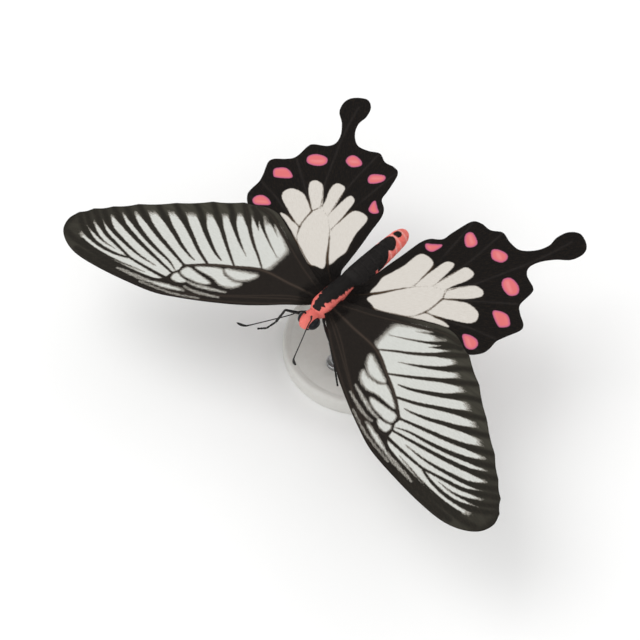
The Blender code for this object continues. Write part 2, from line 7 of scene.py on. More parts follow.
import logging
import math
from dataclasses import dataclass, field
from enum import Enum
from functools import cache, cached_property

import bpy
import numpy as np
from bpy.types import Material, Mesh, Node, NodeSocket, NodeTree, Object, Scene, bpy_prop_collection
from mathutils import Matrix, Vector
from mathutils.geometry import delaunay_2d_cdt


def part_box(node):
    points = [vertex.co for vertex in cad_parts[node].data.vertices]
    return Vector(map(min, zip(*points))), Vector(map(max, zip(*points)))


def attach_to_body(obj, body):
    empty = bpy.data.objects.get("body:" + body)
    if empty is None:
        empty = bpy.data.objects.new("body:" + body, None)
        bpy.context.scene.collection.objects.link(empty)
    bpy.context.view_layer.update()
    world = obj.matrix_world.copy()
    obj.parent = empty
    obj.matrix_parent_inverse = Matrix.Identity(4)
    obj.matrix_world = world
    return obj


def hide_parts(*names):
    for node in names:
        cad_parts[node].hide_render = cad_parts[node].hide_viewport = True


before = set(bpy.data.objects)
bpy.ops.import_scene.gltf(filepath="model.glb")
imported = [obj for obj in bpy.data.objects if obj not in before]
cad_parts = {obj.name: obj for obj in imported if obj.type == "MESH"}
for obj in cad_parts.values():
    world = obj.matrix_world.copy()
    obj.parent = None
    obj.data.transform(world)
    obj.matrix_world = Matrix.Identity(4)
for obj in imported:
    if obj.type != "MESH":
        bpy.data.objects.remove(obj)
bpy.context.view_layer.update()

LOG = logging.getLogger("butterfly")
MM = 0.001
SEED = 7
STUDIO_LEVEL = 1.15
FULL_TURN = 2 * math.pi

Array = np.ndarray
Pair = tuple[float, float]
Triple = tuple[float, float, float]
Colour = tuple[float, float, float, float]
Path = tuple[tuple[float, ...], ...]
Values = dict[str, Array]


class Side(Enum):
    """The animal's two sides, each with the sign of its X coordinates."""

    LEFT = 1
    RIGHT = -1

    @property
    def suffix(self) -> str:
        """The end of a piece's name on this side."""
        return self.name.lower()

    @property
    def flip(self) -> Array:
        """What turns coordinates on the left into this side's."""
        return np.array((self.value, 1.0, 1.0))


class Slot(Enum):
    """The record's material slots."""

    WING = "wing"
    RED_HAIR = "red_hair"
    BLACK_HAIR = "black_hair"
    BLACK_SCALES = "black_scales"
    EYE = "eye"
    LIMB = "limb"
    STAND_WHITE = "stand_white"
    STAND_STEEL = "stand_steel"


@dataclass(frozen=True)
class BodyFrame:
    """Where the body's middle lies in the part's frame, read from the solid of an eye."""

    ahead: float
    height: float
    eye_y: float = -13.9
    eye_z: float = -0.2

    @classmethod
    def from_solids(cls) -> "BodyFrame":
        """Reads the frame from the left eye, whose centre is known.

        Returns:
            The frame of the body.
        """
        low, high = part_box("eye_left")
        middle = (low + high) * (0.5 / MM)
        return cls(ahead=middle.y - cls.eye_y, height=middle.z - cls.eye_z)

    def place(self, points: Array) -> Array:
        """Turns body millimetres, a point a row, into metres in the part's frame."""
        return (points + np.array((0.0, self.ahead, self.height))) * MM

    def found(self, places: Array) -> Array:
        """Turns metres in the part's frame back into body millimetres."""
        return places / MM - np.array((0.0, self.ahead, self.height))


BODY = BodyFrame.from_solids()


def smoothstep(value: Array | float) -> Array:
    """A smooth rise from 0 at 0 to 1 at 1."""
    value = np.clip(value, 0.0, 1.0)
    return value * value * (3.0 - 2.0 * value)


def bell(distance: Array, reach: float) -> Array:
    """1 at no distance, and a smooth fall that is almost over at twice the reach."""
    return np.exp(-((distance / reach) ** 2))


@dataclass(frozen=True)
class Rise:
    """A smooth rise from 0 at its start to 1 a length further, or a length below it."""

    start: float
    length: float

    def __call__(self, value: Array) -> Array:
        """How far the rise has come at some values."""
        return smoothstep((value - self.start) / self.length)


def spline(points: Path | Array, spacing: float, closed: bool = False) -> Array:
    """Points about a spacing apart on the smooth curve through the given ones.

    Args:
        points: The points that the curve passes through.
        spacing: The distance between the points that come back.
        closed: Whether the curve runs back to its start.

    Returns:
        An array with one point a row.
    """
    knots = np.array(points, float)
    if closed:
        around = np.vstack([knots[-1:], knots, knots[:2]])
    else:
        around = np.vstack([2 * knots[:1] - knots[1:2], knots, 2 * knots[-1:] - knots[-2:-1]])
    curve = []
    for before, start, end, after in zip(around, around[1:], around[2:], around[3:]):
        steps = max(1, round(float(np.linalg.norm(end - start)) / spacing))
        t = (np.arange(steps) / steps)[:, None]
        curve.append(
            start * (2 * t**3 - 3 * t**2 + 1)
            + (end - before) * 0.5 * (t**3 - 2 * t**2 + t)
            + end * (3 * t**2 - 2 * t**3)
            + (after - start) * 0.5 * (t**3 - t**2)
        )
    if not closed:
        curve.append(knots[-1:])
    return np.vstack(curve)


def near_line(points: Array, line: Array) -> tuple[Array, Array]:
    """How far points lie from a line, and where along it they are nearest.

    Args:
        points: Flat points, one a row.
        line: The line's own flat points in order.

    Returns:
        The distances, and the shares of the line's length from its start.
    """
    best = np.full(len(points), np.inf)
    share = np.zeros(len(points))
    lengths = np.linalg.norm(np.diff(line, axis=0), axis=1)
    passed = 0.0
    for start, end, length in zip(line, line[1:], lengths):
        along = (end - start) / max(length, 1e-9)
        offset = points - start
        reach = np.clip(offset @ along, 0.0, length)
        distance = np.linalg.norm(offset - reach[:, None] * along, axis=1)
        closer = distance < best
        best = np.where(closer, distance, best)
        share = np.where(closer, (passed + reach) / lengths.sum(), share)
        passed += length
    return best, share


def depth_inside(points: Array, loop: Array) -> Array:
    """Signed distance of points to a closed loop, above 0 inside it.

    Args:
        points: Flat points, one a row.
        loop: The loop's corners in order.

    Returns:
        One distance for each point.
    """
    closed = np.vstack([loop, loop[:1]])
    inside = np.zeros(len(points), bool)
    x, y = points[:, 0], points[:, 1]
    for (x0, y0), (x1, y1) in zip(closed, closed[1:]):
        if y0 != y1:
            crosses = (y0 > y) != (y1 > y)
            inside ^= crosses & (x < x0 + (y - y0) * (x1 - x0) / (y1 - y0))
    distance = near_line(points, closed)[0]
    return np.where(inside, distance, -distance)


def inset(loop: Array, distance: float) -> Array:
    """A closed loop moved inwards.

    Args:
        loop: The loop's corners in order.
        distance: How far inwards.

    Returns:
        The corners of the smaller loop.
    """
    along = np.roll(loop, -1, axis=0) - np.roll(loop, 1, axis=0)
    inwards = np.column_stack([-along[:, 1], along[:, 0]])
    inwards /= np.linalg.norm(inwards, axis=1)[:, None]
    following = np.roll(loop, -1, axis=0)
    area = 0.5 * (loop[:, 0] * following[:, 1] - following[:, 0] * loop[:, 1]).sum()
    return loop + inwards * math.copysign(distance, area)


def attach(mesh: Mesh, values: Values) -> None:
    """Writes attributes of a mesh's points, a number or a vector for each."""
    for key, value in values.items():
        flat = value.ndim == 1
        attribute = mesh.attributes.new(key, "FLOAT" if flat else "FLOAT_VECTOR", "POINT")
        attribute.data.foreach_set("value" if flat else "vector", value.astype(np.float32).ravel())


def vectors(items: bpy_prop_collection, key: str) -> Array:
    """Reads one vector of each item, a row each."""
    values = np.zeros(len(items) * 3, np.float32)
    items.foreach_get(key, values)
    return values.reshape(-1, 3)


def linked(name: str, mesh: Mesh) -> Object:
    """An object of a mesh, in the scene."""
    thing = bpy.data.objects.new(name, mesh)
    bpy.context.scene.collection.objects.link(thing)
    return thing


def make_mesh(
    name: str, points: Array, faces: Array, values: Values | None = None,
    material: Material | None = None,
) -> Object:
    """Makes a smooth mesh object at the part's origin.

    Args:
        name: The object's name.
        points: Body coordinates in millimetres.
        faces: Corner numbers, a face a row.
        values: Attributes of the points, a number or a vector each.
        material: Its material.

    Returns:
        The object, linked to the scene.
    """
    mesh = bpy.data.meshes.new(name)
    mesh.vertices.add(len(points))
    mesh.vertices.foreach_set("co", BODY.place(points).astype(np.float32).ravel())
    mesh.loops.add(faces.size)
    mesh.loops.foreach_set("vertex_index", faces.astype(np.int32).ravel())
    mesh.polygons.add(len(faces))
    mesh.polygons.foreach_set("loop_start", np.arange(0, faces.size, faces.shape[1], dtype=np.int32))
    mesh.update(calc_edges=True)
    mesh.validate()
    attach(mesh, values or {})
    mesh.shade_smooth()
    if material:
        mesh.materials.append(material)
    return linked(name, mesh)


def strands(name: str, paths: list[Array], values: Values) -> Object:
    """Makes a mesh of lines, a bed for a tree that follows a path.

    Args:
        name: The object's name.
        paths: Body coordinates along each path.
        values: Attributes of all the points, in the same order.

    Returns:
        The bed.
    """
    edges = []
    first = 0
    for path in paths:
        edges.extend((first + k, first + k + 1) for k in range(len(path) - 1))
        first += len(path)
    mesh = bpy.data.meshes.new(name)
    mesh.from_pydata(BODY.place(np.vstack(paths)).tolist(), edges, [])
    attach(mesh, values)
    return linked(name, mesh)


def ringed(rings: Array, poles: Array) -> tuple[Array, Array]:
    """Closes a stack of rings into a skin.

    Args:
        rings: Points, by ring and by turn.
        poles: The points that close the first and the last ring.

    Returns:
        All the points with the poles last, and triangles.
    """
    count, sides = rings.shape[:2]
    index = np.arange(count * sides).reshape(count, sides)
    after = np.roll(index, -1, axis=1)
    quads = np.stack([index[:-1], after[:-1], after[1:], index[1:]], axis=-1).reshape(-1, 4)
    pole = np.full(sides, count * sides)
    faces = np.vstack([
        quads[:, [0, 1, 2]], quads[:, [0, 2, 3]],
        np.column_stack([after[0], index[0], pole]), np.column_stack([index[-1], after[-1], pole + 1]),
    ])
    return np.vstack([rings.reshape(-1, 3), poles]), faces


def mirrored(points: Array, faces: Array, side: Side) -> tuple[Array, Array]:
    """A left shape on the wanted side, with its faces outwards there."""
    return points * side.flip, faces[:, :: side.value]


def deliver(piece: Object, slot: Slot, *nodes: str) -> Object:
    """Puts a finished piece on the model's body.

    Args:
        piece: The finished object.
        slot: The record's slot of its finish; not used.
        nodes: The solids that it stands for.

    Returns:
        The same object.
    """
    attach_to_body(piece, "root")
    if nodes:
        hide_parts(*nodes)
    LOG.info("%s: %d faces", piece.name, len(piece.data.polygons))
    return piece


class Scatter(Enum):
    """Where a planting puts its copies."""

    SURFACE = "surface"
    PATH = "path"


class NodeMaker:
    """A tree of nodes made a call at a time."""

    prefix = ""

    def __init__(self, tree: NodeTree) -> None:
        """Takes the tree that the nodes go into."""
        self.tree = tree

    def find(self, node: Node, key: str | int) -> NodeSocket:
        """An input of a node, by name or number."""
        return node.inputs[key]

    def put(self, value: object, socket: NodeSocket) -> None:
        """Links another node's output to an input, or writes a plain value there."""
        if isinstance(value, NodeSocket):
            self.tree.links.new(value, socket)
        else:
            socket.default_value = value

    def add(self, kind: str, inputs: dict | None = None, **settings: object) -> Node:
        """Adds a node.

        Args:
            kind: What follows the prefix in the node's type name.
            inputs: A value or a socket for each input.
            settings: The node's own settings.

        Returns:
            The node.
        """
        node = self.tree.nodes.new(self.prefix + kind)
        for key, value in settings.items():
            setattr(node, key, value)
        for key, value in (inputs or {}).items():
            self.put(value, self.find(node, key))
        return node


class GrowthTree(NodeMaker):
    """A geometry node tree with named inputs for its sizes."""

    def __init__(self, name: str) -> None:
        """Starts a tree with a geometry input and output."""
        super().__init__(bpy.data.node_groups.new(name, "GeometryNodeTree"))
        for way in ("INPUT", "OUTPUT"):
            self.tree.interface.new_socket("Geometry", in_out=way, socket_type="NodeSocketGeometry")
        self.identifiers: dict[str, str] = {}
        self.entry: Node | None = None

    def ask(self, kind: str, *names: str) -> None:
        """Adds named inputs of one kind."""
        for name in names:
            socket = self.tree.interface.new_socket(name, in_out="INPUT", socket_type=f"NodeSocket{kind}")
            self.identifiers[name] = socket.identifier

    def given(self, name: str) -> NodeSocket:
        """The value of a named input."""
        if self.entry is None:
            self.entry = self.tree.nodes.new("NodeGroupInput")
        return self.entry.outputs[name]

    def find(self, node: Node, key: str | int) -> NodeSocket:
        """An input of a node, by identifier."""
        return next(socket for socket in node.inputs if socket.identifier == key)

    def named(self, name: str, kind: str = "FLOAT") -> NodeSocket:
        """An attribute of the geometry, by name."""
        node = self.add("GeometryNodeInputNamedAttribute", {"Name": name}, data_type=kind)
        return next(s for s in node.outputs if s.identifier == "Attribute")

    def math(self, operation: str, *terms: object) -> NodeSocket:
        """A product or another operation on numbers."""
        inputs = dict(zip(("Value", "Value_001", "Value_002"), terms))
        return self.add("ShaderNodeMath", inputs, operation=operation).outputs[0]

    def random(self, low: object, high: object, vector: bool = False) -> NodeSocket:
        """A number or a vector that differs from copy to copy.

        Args:
            low: Its least value.
            high: Its greatest value.
            vector: Whether it is a vector.

        Returns:
            The node's output.
        """
        end = "" if vector else "_001"
        inputs = {f"Min{end}": low, f"Max{end}": high, "Seed": self.given("Seed")}
        node = self.add("FunctionNodeRandomValue", inputs, data_type="FLOAT_VECTOR" if vector else "FLOAT")
        return node.outputs[0 if vector else 1]

    def close(self, geometry: NodeSocket) -> None:
        """Ends the tree in Realize Instances and Set Material.

        Args:
            geometry: The finished geometry.
        """
        real = self.add("GeometryNodeRealizeInstances", {"Geometry": geometry})
        dressed = self.add(
            "GeometryNodeSetMaterial",
            {"Geometry": real.outputs["Geometry"], "Material": self.given("Material")},
        )
        self.add("NodeGroupOutput", {"Socket_1": dressed.outputs["Geometry"]})

    def grow(self, bed: Object, name: str, settings: dict[str, object]) -> Object:
        """Runs the tree on a bed and turns the result into a plain mesh.

        Args:
            bed: The object that the growth starts from, which is removed.
            name: The name of what grows.
            settings: A value for each named input.

        Returns:
            A new object at the part's origin.
        """
        modifier = bed.modifiers.new("growth", "NODES")
        modifier.node_group = self.tree
        for key, value in settings.items():
            modifier[self.identifiers[key]] = value
        bpy.context.view_layer.update()
        graph = bpy.context.evaluated_depsgraph_get()
        mesh = bpy.data.meshes.new_from_object(bed.evaluated_get(graph))
        bed.modifiers.remove(modifier)
        bpy.data.objects.remove(bed)
        mesh.name = name
        return linked(name, mesh)


@cache
def planting_tree(scatter: Scatter) -> GrowthTree:
    """Copies of a tuft on a surface or along a path, each leaning its own way.

    Args:
        scatter: Whether the copies stand on a surface or along a path.

    Returns:
        The tree.
    """
    growth = GrowthTree(f"plant_on_{scatter.value}")
    growth.ask("Object", "Tuft")
    growth.ask("Float", "Spacing", "Smallest", "Largest", "Disorder")
    growth.ask("Int", "Seed")
    growth.ask("Material", "Material")
    ground = growth.given("Geometry")
    if scatter is Scatter.SURFACE:
        spread = growth.add(
            "GeometryNodeDistributePointsOnFaces",
            {
                "Mesh": ground,
                "Distance Min": growth.given("Spacing"),
                "Density Max": 1.0e10,
                "Density Factor": growth.named("cover"),
                "Seed": growth.given("Seed"),
            },
            distribute_method="POISSON",
        )
        points = spread.outputs["Points"]
    else:
        line = growth.add("GeometryNodeMeshToCurve", {"Mesh": ground})
        even = growth.add(
            "GeometryNodeResampleCurve",
            {"Curve": line.outputs["Curve"], "Length": growth.given("Spacing")},
            mode="LENGTH",
        )
        row = growth.add("GeometryNodeCurveToPoints", {"Curve": even.outputs["Curve"]}, mode="EVALUATED")
        points = row.outputs["Points"]
    disorder = growth.given("Disorder")
    stray = growth.random(growth.math("MULTIPLY", disorder, -1.0), disorder, vector=True)
    lean = {"Vector": growth.named("way", "FLOAT_VECTOR"), "Vector_001": stray}
    way = growth.add("ShaderNodeVectorMath", lean, operation="ADD")
    leaning = growth.add("FunctionNodeAlignRotationToVector", {"Vector": way.outputs[0]}, axis="Z")
    turn = growth.random((0, 0, 0), (0, 0, FULL_TURN), vector=True)
    spun = growth.add("FunctionNodeEulerToRotation", {"Euler": turn})
    rotation = growth.add(
        "FunctionNodeRotateRotation",
        {"Rotation": leaning.outputs[0], "Rotate By": spun.outputs[0]},
        rotation_space="LOCAL",
    )
    size = growth.random(growth.given("Smallest"), growth.given("Largest"))
    scale = growth.math("MULTIPLY", size, growth.named("length"))
    tinted = growth.add(
        "GeometryNodeStoreNamedAttribute",
        {"Geometry": points, "Name": "tint", "Value": growth.random(0.0, 1.0)},
        data_type="FLOAT",
        domain="POINT",
    )
    tuft = growth.add("GeometryNodeObjectInfo", {"Object": growth.given("Tuft"), "As Instance": True})
    placed = growth.add(
        "GeometryNodeInstanceOnPoints",
        {
            "Points": tinted.outputs["Geometry"],
            "Instance": tuft.outputs["Geometry"],
            "Rotation": rotation.outputs[0],
            "Scale": scale,
        },
    )
    growth.close(placed.outputs["Instances"])
    return growth


def plant(
    scatter: Scatter, bed: Object, name: str, tuft: Object, material: Material,
    spacing: float, sizes: Pair, disorder: float,
) -> Object:
    """Plants copies of a tuft on a bed.

    Args:
        scatter: Whether the bed is a surface or a path.
        bed: The bed, with way and length attributes.
        name: The name of what grows.
        tuft: What is repeated.
        material: Its material.
        spacing: The distance between copies, in millimetres.
        sizes: The least and the greatest size of a copy.
        disorder: How far each leans its own way.

    Returns:
        The grown mesh.
    """
    settings = {
        "Tuft": tuft, "Material": material, "Spacing": spacing * MM, "Smallest": sizes[0],
        "Largest": sizes[1], "Disorder": disorder, "Seed": SEED,
    }
    return planting_tree(scatter).grow(bed, name, settings)


@cache
def tube_tree() -> GrowthTree:
    """A round tube along a path whose girth and ribs follow it.

    Returns:
        The tree.
    """
    growth = GrowthTree("tube_along_path")
    growth.ask("Int", "Sides")
    growth.ask("Float", "Rib Pitch", "Rib Depth")
    growth.ask("Material", "Material")
    line = growth.add("GeometryNodeMeshToCurve", {"Mesh": growth.given("Geometry")})
    along = growth.add("GeometryNodeSplineParameter")
    phase = growth.math("DIVIDE", along.outputs["Length"], growth.given("Rib Pitch"))
    wave = growth.math("SINE", growth.math("MULTIPLY", phase, FULL_TURN))
    swell = growth.math("MULTIPLY_ADD", wave, growth.given("Rib Depth"), 1.0)
    girth = growth.math("MULTIPLY", swell, growth.named("girth"))
    circle = {"Resolution": growth.given("Sides"), "Radius": 1.0}
    ring = growth.add("GeometryNodeCurvePrimitiveCircle", circle)
    outputs = {"Curve": line.outputs["Curve"], "Profile Curve": ring.outputs["Curve"]}
    tube = growth.add("GeometryNodeCurveToMesh", {**outputs, "Scale": girth, "Fill Caps": True})
    smooth = growth.add("GeometryNodeSetShadeSmooth", {"Geometry": tube.outputs["Mesh"]})
    growth.close(smooth.outputs["Geometry"])
    return growth


def make_tubes(
    name: str, paths: list[Array], girths: Array, material: Material, sides: int = 8,
    ribs: Pair = (1.0, 0.0),
) -> Object:
    """Makes round tubes along paths.

    Args:
        name: The piece's name.
        paths: Body coordinates along each tube.
        girths: The radius at every point of the paths.
        material: The tubes' material.
        sides: How many sides they have.
        ribs: The distance between ribs, and their height as a share of the radius.

    Returns:
        The piece.
    """
    bed = strands(f"{name}_paths", paths, {"girth": girths * MM})
    settings = {"Sides": sides, "Rib Pitch": ribs[0] * MM, "Rib Depth": ribs[1], "Material": material}
    return tube_tree().grow(bed, name, settings)


class Web(NodeMaker):
    """The nodes of one material."""

    prefix = "ShaderNode"

    def __init__(self, name: str, roughness: float, specular: float = 0.5) -> None:
        """Starts a material whose surface is one Principled shader.

        Args:
            name: The material's name.
            roughness: The roughness of the whole surface.
            specular: The specular level of the whole surface.
        """
        self.material = bpy.data.materials.new(name)
        self.material.use_nodes = True
        super().__init__(self.material.node_tree)
        self.shader = self.tree.nodes["Principled BSDF"]
        self.shader.inputs["Roughness"].default_value = roughness
        self.shader.inputs["Specular IOR Level"].default_value = specular

    def value(self, name: str) -> NodeSocket:
        """A number attribute of the mesh."""
        return self.add("Attribute", attribute_name=name).outputs["Fac"]

    def vector(self, name: str) -> NodeSocket:
        """A vector attribute of the mesh."""
        return self.add("Attribute", attribute_name=name).outputs["Vector"]

    def place(self) -> NodeSocket:
        """The point in the piece's own coordinates, in metres."""
        return self.add("TexCoord").outputs["Object"]

    def scaled(self, vector: NodeSocket, scale: Triple) -> NodeSocket:
        """A vector stretched along its axes."""
        return self.add("Mapping", {"Vector": vector, "Scale": scale}).outputs["Vector"]

    def math(self, operation: str, *terms: object, clamp: bool = False) -> NodeSocket:
        """A sum, product or other operation on numbers."""
        return self.add("Math", dict(enumerate(terms)), operation=operation, use_clamp=clamp).outputs[0]

    def between(self, value: object, low: float, high: float) -> NodeSocket:
        """0 below a value, 1 above another and a smooth rise between."""
        settings = {"Value": value, "From Min": low, "From Max": high}
        return self.add("MapRange", settings, interpolation_type="SMOOTHSTEP").outputs[0]

    def noise(self, vector: NodeSocket, scale: float, detail: float = 2.0) -> NodeSocket:
        """Noise from 0 to 1."""
        settings = {"Vector": vector, "Scale": scale, "Detail": detail}
        return self.add("TexNoise", settings).outputs["Fac"]

    def mix(self, share: object, first: object, second: object) -> NodeSocket:
        """A colour between two."""
        node = self.add("Mix", {"Factor": share}, data_type="RGBA")
        for key, value in (("A", first), ("B", second)):
            self.put(value, next(s for s in node.inputs if s.name == key and s.type == "RGBA"))
        return next(s for s in node.outputs if s.type == "RGBA")

    def colour(self, value: NodeSocket) -> None:
        """Links the surface's colour."""
        self.put(value, self.shader.inputs["Base Color"])

    def bump(self, height: NodeSocket, strength: float, distance: float) -> None:
        """Raises the surface by a height, at most a distance in metres."""
        node = self.add("Bump", {"Height": height, "Strength": strength, "Distance": distance})
        self.put(node.outputs["Normal"], self.shader.inputs["Normal"])


def pigment(code: str) -> Colour:
    """The colour that shows as a six-digit display code in the studio's light."""
    parts = [int(code[i : i + 2], 16) / 255 for i in (0, 2, 4)]
    linear = [c / 12.92 if c <= 0.04045 else ((c + 0.055) / 1.055) ** 2.4 for c in parts]
    return (*(c / STUDIO_LEVEL for c in linear), 1.0)


@dataclass(frozen=True)
class WingFinish:
    """Matt wing scales: off-white, black-brown and coral, with feathered borders."""

    name: str
    white: Colour
    white_shade: Colour
    base_dark: Colour
    border_dark: Colour
    border_light: Colour
    brown: Colour
    fading: Colour = pigment("857a6c")
    pink: Colour = pigment("e27577")
    # pale coral of the spots' middles, shown only within bands of painted sheen
    pink_light: Colour = pigment("e98b8c")
    pink_rim: Colour = pigment("c6668a")
    roughness: float = 0.78
    specular: float = 0.1
    feather: float = 0.14
    ragged: float = 0.55
    mottling: float = 0.28
    mottled: Pair = (0.42, 0.75)
    shaded: Pair = (0.3, 0.7)
    smeared: Pair = (0.25, 0.75)
    faded: float = 1.6
    rimmed: Pair = (0.05, 0.55)
    pink_feather: float = 0.13
    pink_paleness: float = 0.8
    comb_scale: Triple = (0.9, 5.0, 1.0)
    grain_scale: Triple = (4.0, 7.0, 1.0)
    streak_scale: Triple = (0.12, 1.7, 1.0)
    tile_scale: Triple = (7.0, 9.0, 1.0)
    relief: Pair = (0.35, 0.00003)

    def material(self) -> Material:
        """Builds the material.

        Returns:
            A material that reads the wing's attributes.
        """
        web = Web(self.name, self.roughness, self.specular)
        ray = web.vector("ray")
        comb = web.noise(web.scaled(ray, self.comb_scale), 1.0, 3.0)
        grain = web.noise(web.scaled(ray, self.grain_scale), 1.0, 2.0)
        streaks = web.noise(web.scaled(ray, self.streak_scale), 1.0, 3.0)
        shade = web.math("MULTIPLY_ADD", comb, 0.5, web.math("MULTIPLY", grain, 0.5))
        wander = web.math("MULTIPLY_ADD", shade, self.ragged, -0.5 * self.ragged)
        white_edge = web.math("ADD", web.value("white_depth"), wander)
        white_share = web.between(white_edge, -self.feather, self.feather)
        uneven = web.math("MULTIPLY_ADD", web.between(streaks, *self.smeared), 0.5, 0.5)
        smear = web.math("MULTIPLY", web.value("smear"), uneven)
        dark = web.mix(web.value("border"), self.base_dark, self.border_dark)
        dark = web.mix(smear, dark, self.border_light)
        mottles = web.math("MULTIPLY", web.between(shade, *self.mottled), self.mottling)
        dark = web.mix(mottles, dark, self.brown)
        dark = web.mix(web.value("brownness"), dark, self.brown)
        white = web.mix(web.between(shade, *self.shaded), self.white_shade, self.white)
        colour = web.mix(white_share, dark, white)
        halfway = web.math("MULTIPLY", white_share, web.math("SUBTRACT", 1.0, white_share))
        colour = web.mix(web.math("MULTIPLY", halfway, self.faded), colour, self.fading)
        pink_edge = web.math("ADD", web.value("pink_depth"), web.math("MULTIPLY", wander, 0.5))
        pink = web.mix(web.between(pink_edge, *self.rimmed), self.pink_rim, self.pink)
        # painted sheen: the coral turns paler in the spots' middles, only within painted bands of highlight
        paleness = web.math("MULTIPLY", web.value("pink_pale"), self.pink_paleness)
        pink = web.mix(paleness, pink, self.pink_light)
        web.colour(web.mix(web.between(pink_edge, -self.pink_feather, self.pink_feather), colour, pink))
        tiles = web.add("TexVoronoi", {"Vector": web.scaled(ray, self.tile_scale), "Scale": 1.0})
        web.bump(web.math("ADD", tiles.outputs["Distance"], grain), *self.relief)
        return web.material


@dataclass
class Wing:
    """One kind of wing: a thin membrane with veins, in the left wing's coordinates."""

    name: str
    lift: float
    root_y: Pair
    finish: WingFinish
    # how the membrane lies: its slopes and its dips between the veins
    rise: float = 1.65
    droop: float = -0.036
    tilt: float = 0.075
    dip: float = 0.1
    dip_reach: float = 1.1
    root_dip: float = 0.38
    root_zone: Rise = Rise(6.5, -4)
    # where the wing is lifted off its neighbour, on one side of the forewing's rear edge
    rear_edge_point: Pair = (9.7, -3.6)
    rear_edge_slope: float = 0.475
    lift_side: float = 1.0
    lift_end: Rise = Rise(0.5, 5)
    # the mesh
    thickness: float = 0.13
    edge_gap: float = 0.55
    root_x: float = 1.5
    root_points: int = 10
    spacing: float = 0.27
    edge_spacing: float = 0.24
    inset: float = 0.12
    # the streaks' rays, and how far the markings' depths go
    ray_origin: Pair = (0.0, -8.0)
    ray_gain: float = 26.0
    limit: float = 2.0
    # the veins
    track_step: float = 0.5
    vein_radii: Pair = (0.15, 0.06)
    vein_step: float = 0.22
    vein_margin: float = 0.12
    vein_narrowing: float = 0.8
    vein_end: float = 0.45
    vein_taper: float = 24.0
    vein_root_y: float = -6.0
    # the hair at the root and its place on the map
    hair_reach: float = 8.0
    hair_fade: float = 3.0
    hair_lift: float = 0.3
    hair_root_x: float = -2.0
    map_size: Pair = (130.0, 90.0)
    # the fringe of scales
    fringe_spacing: float = 0.1
    fringe_inset: float = 0.06
    fringe_sizes: Pair = (0.7, 1.15)
    fringe_disorder: float = 0.22

    def outline(self) -> Array:
        """The wing's edge, as a closed loop."""
        raise NotImplementedError

    def root_edge(self) -> Array:
        """The short straight edge at the root, from the rear forwards."""
        front, rear = self.root_y
        y = np.linspace(rear, front, self.root_points + 1)[1:-1]
        return np.column_stack([np.full(len(y), self.root_x), y])

    def veins(self) -> dict[str, Path]:
        """The routes of the veins."""
        raise NotImplementedError

    def markings(self, points: Array) -> Values:
        """The attributes that the wing's material reads."""
        raise NotImplementedError

    def fringed(self, points: Array) -> Array:
        """Which points of the edge carry the fringe."""
        raise NotImplementedError

    def height(self, points: Array, distance: Array) -> Array:
        """The middle of the membrane over the body's axis.

        Args:
            points: Flat points, one a row.
            distance: How far each is from the nearest vein.

        Returns:
            One height for each point.
        """
        x, y = points[:, 0], points[:, 1]
        plane = self.rise + self.droop * x + self.tilt * y - self.root_dip * self.root_zone(x)
        hollow = self.dip * (1.0 - bell(distance, self.dip_reach))
        x0, y0 = self.rear_edge_point
        behind = self.lift_side * (y - (y0 + self.rear_edge_slope * (x - x0)))
        return plane + self.lift * (1 - self.lift_end(behind)) - hollow

    def tracks(self) -> list[Array]:
        """The veins as lines of close points."""
        return [spline(route, self.track_step) for route in self.veins().values()]

    def vein_distance(self, points: Array) -> Array:
        """How far points are from the nearest vein."""
        return np.min([near_line(points, track)[0] for track in self.tracks()], axis=0)

    def fill(self) -> tuple[Array, Array]:
        """Covers the outline with nearly even triangles.

        Returns:
            The flat points, and the triangles with their corners anticlockwise.
        """
        edge = inset(self.outline(), self.inset)
        low, high = edge.min(0), edge.max(0)
        rows = []
        row_step = self.spacing * math.sqrt(0.75)
        for k in range(int((high[1] - low[1]) / row_step) + 1):
            x = np.arange(low[0] + 0.5 * self.spacing * (k % 2), high[0], self.spacing)
            rows.append(np.column_stack([x, np.full(len(x), low[1] + k * row_step)]))
        inner = np.vstack(rows)
        inner = inner[depth_inside(inner, edge) > self.edge_gap * self.spacing]
        corners = [Vector(p) for p in np.vstack([edge, inner])]
        flat = delaunay_2d_cdt(corners, [], [list(range(len(edge)))], 1, 1e-6)
        points = np.array([(p.x, p.y) for p in flat[0]])
        triangles = np.array(flat[2])
        a, b, c = (points[triangles[:, k]] for k in range(3))
        turn = (b[:, 0] - a[:, 0]) * (c[:, 1] - a[:, 1]) - (b[:, 1] - a[:, 1]) * (c[:, 0] - a[:, 0])
        return points, np.where((turn < 0)[:, None], triangles[:, ::-1], triangles)

    @cached_property
    def membrane(self) -> tuple[Array, Array, Values]:
        """The closed membrane.

        Returns:
            Its points, its faces and the attributes of its points.
        """
        flat, triangles = self.fill()
        distance = self.vein_distance(flat)
        middle = self.height(flat, distance)
        count = len(flat)
        upper = np.column_stack([flat, middle + 0.5 * self.thickness])
        lower = np.column_stack([flat, middle - 0.5 * self.thickness])
        pairs = triangles[:, [0, 1, 1, 2, 2, 0]].reshape(-1, 2)
        keys = pairs[:, 0] * count + pairs[:, 1]
        rim = pairs[~np.isin(keys, pairs[:, 1] * count + pairs[:, 0])]
        walls = np.vstack([
            np.column_stack([rim[:, 1], rim[:, 0], rim[:, 0] + count]),
            np.column_stack([rim[:, 1], rim[:, 0] + count, rim[:, 1] + count]),
        ])
        faces = np.vstack([triangles, triangles[:, ::-1] + count, walls])
        values = self.dressed_values(flat)
        doubled = {key: np.concatenate([value, value]) for key, value in values.items()}
        return np.vstack([upper, lower]), faces, doubled

    def build(self, side: Side, material: Material) -> Object:
        """Makes the wing of one side.

        Args:
            side: The animal's side.
            material: The wing's material.

        Returns:
            The finished membrane.
        """
        points, faces, values = self.membrane
        name = f"{self.name}_membrane_{side.suffix}"
        piece = make_mesh(name, *mirrored(points, faces, side), values, material)
        return deliver(piece, Slot.WING, f"{self.name}_{side.suffix}")

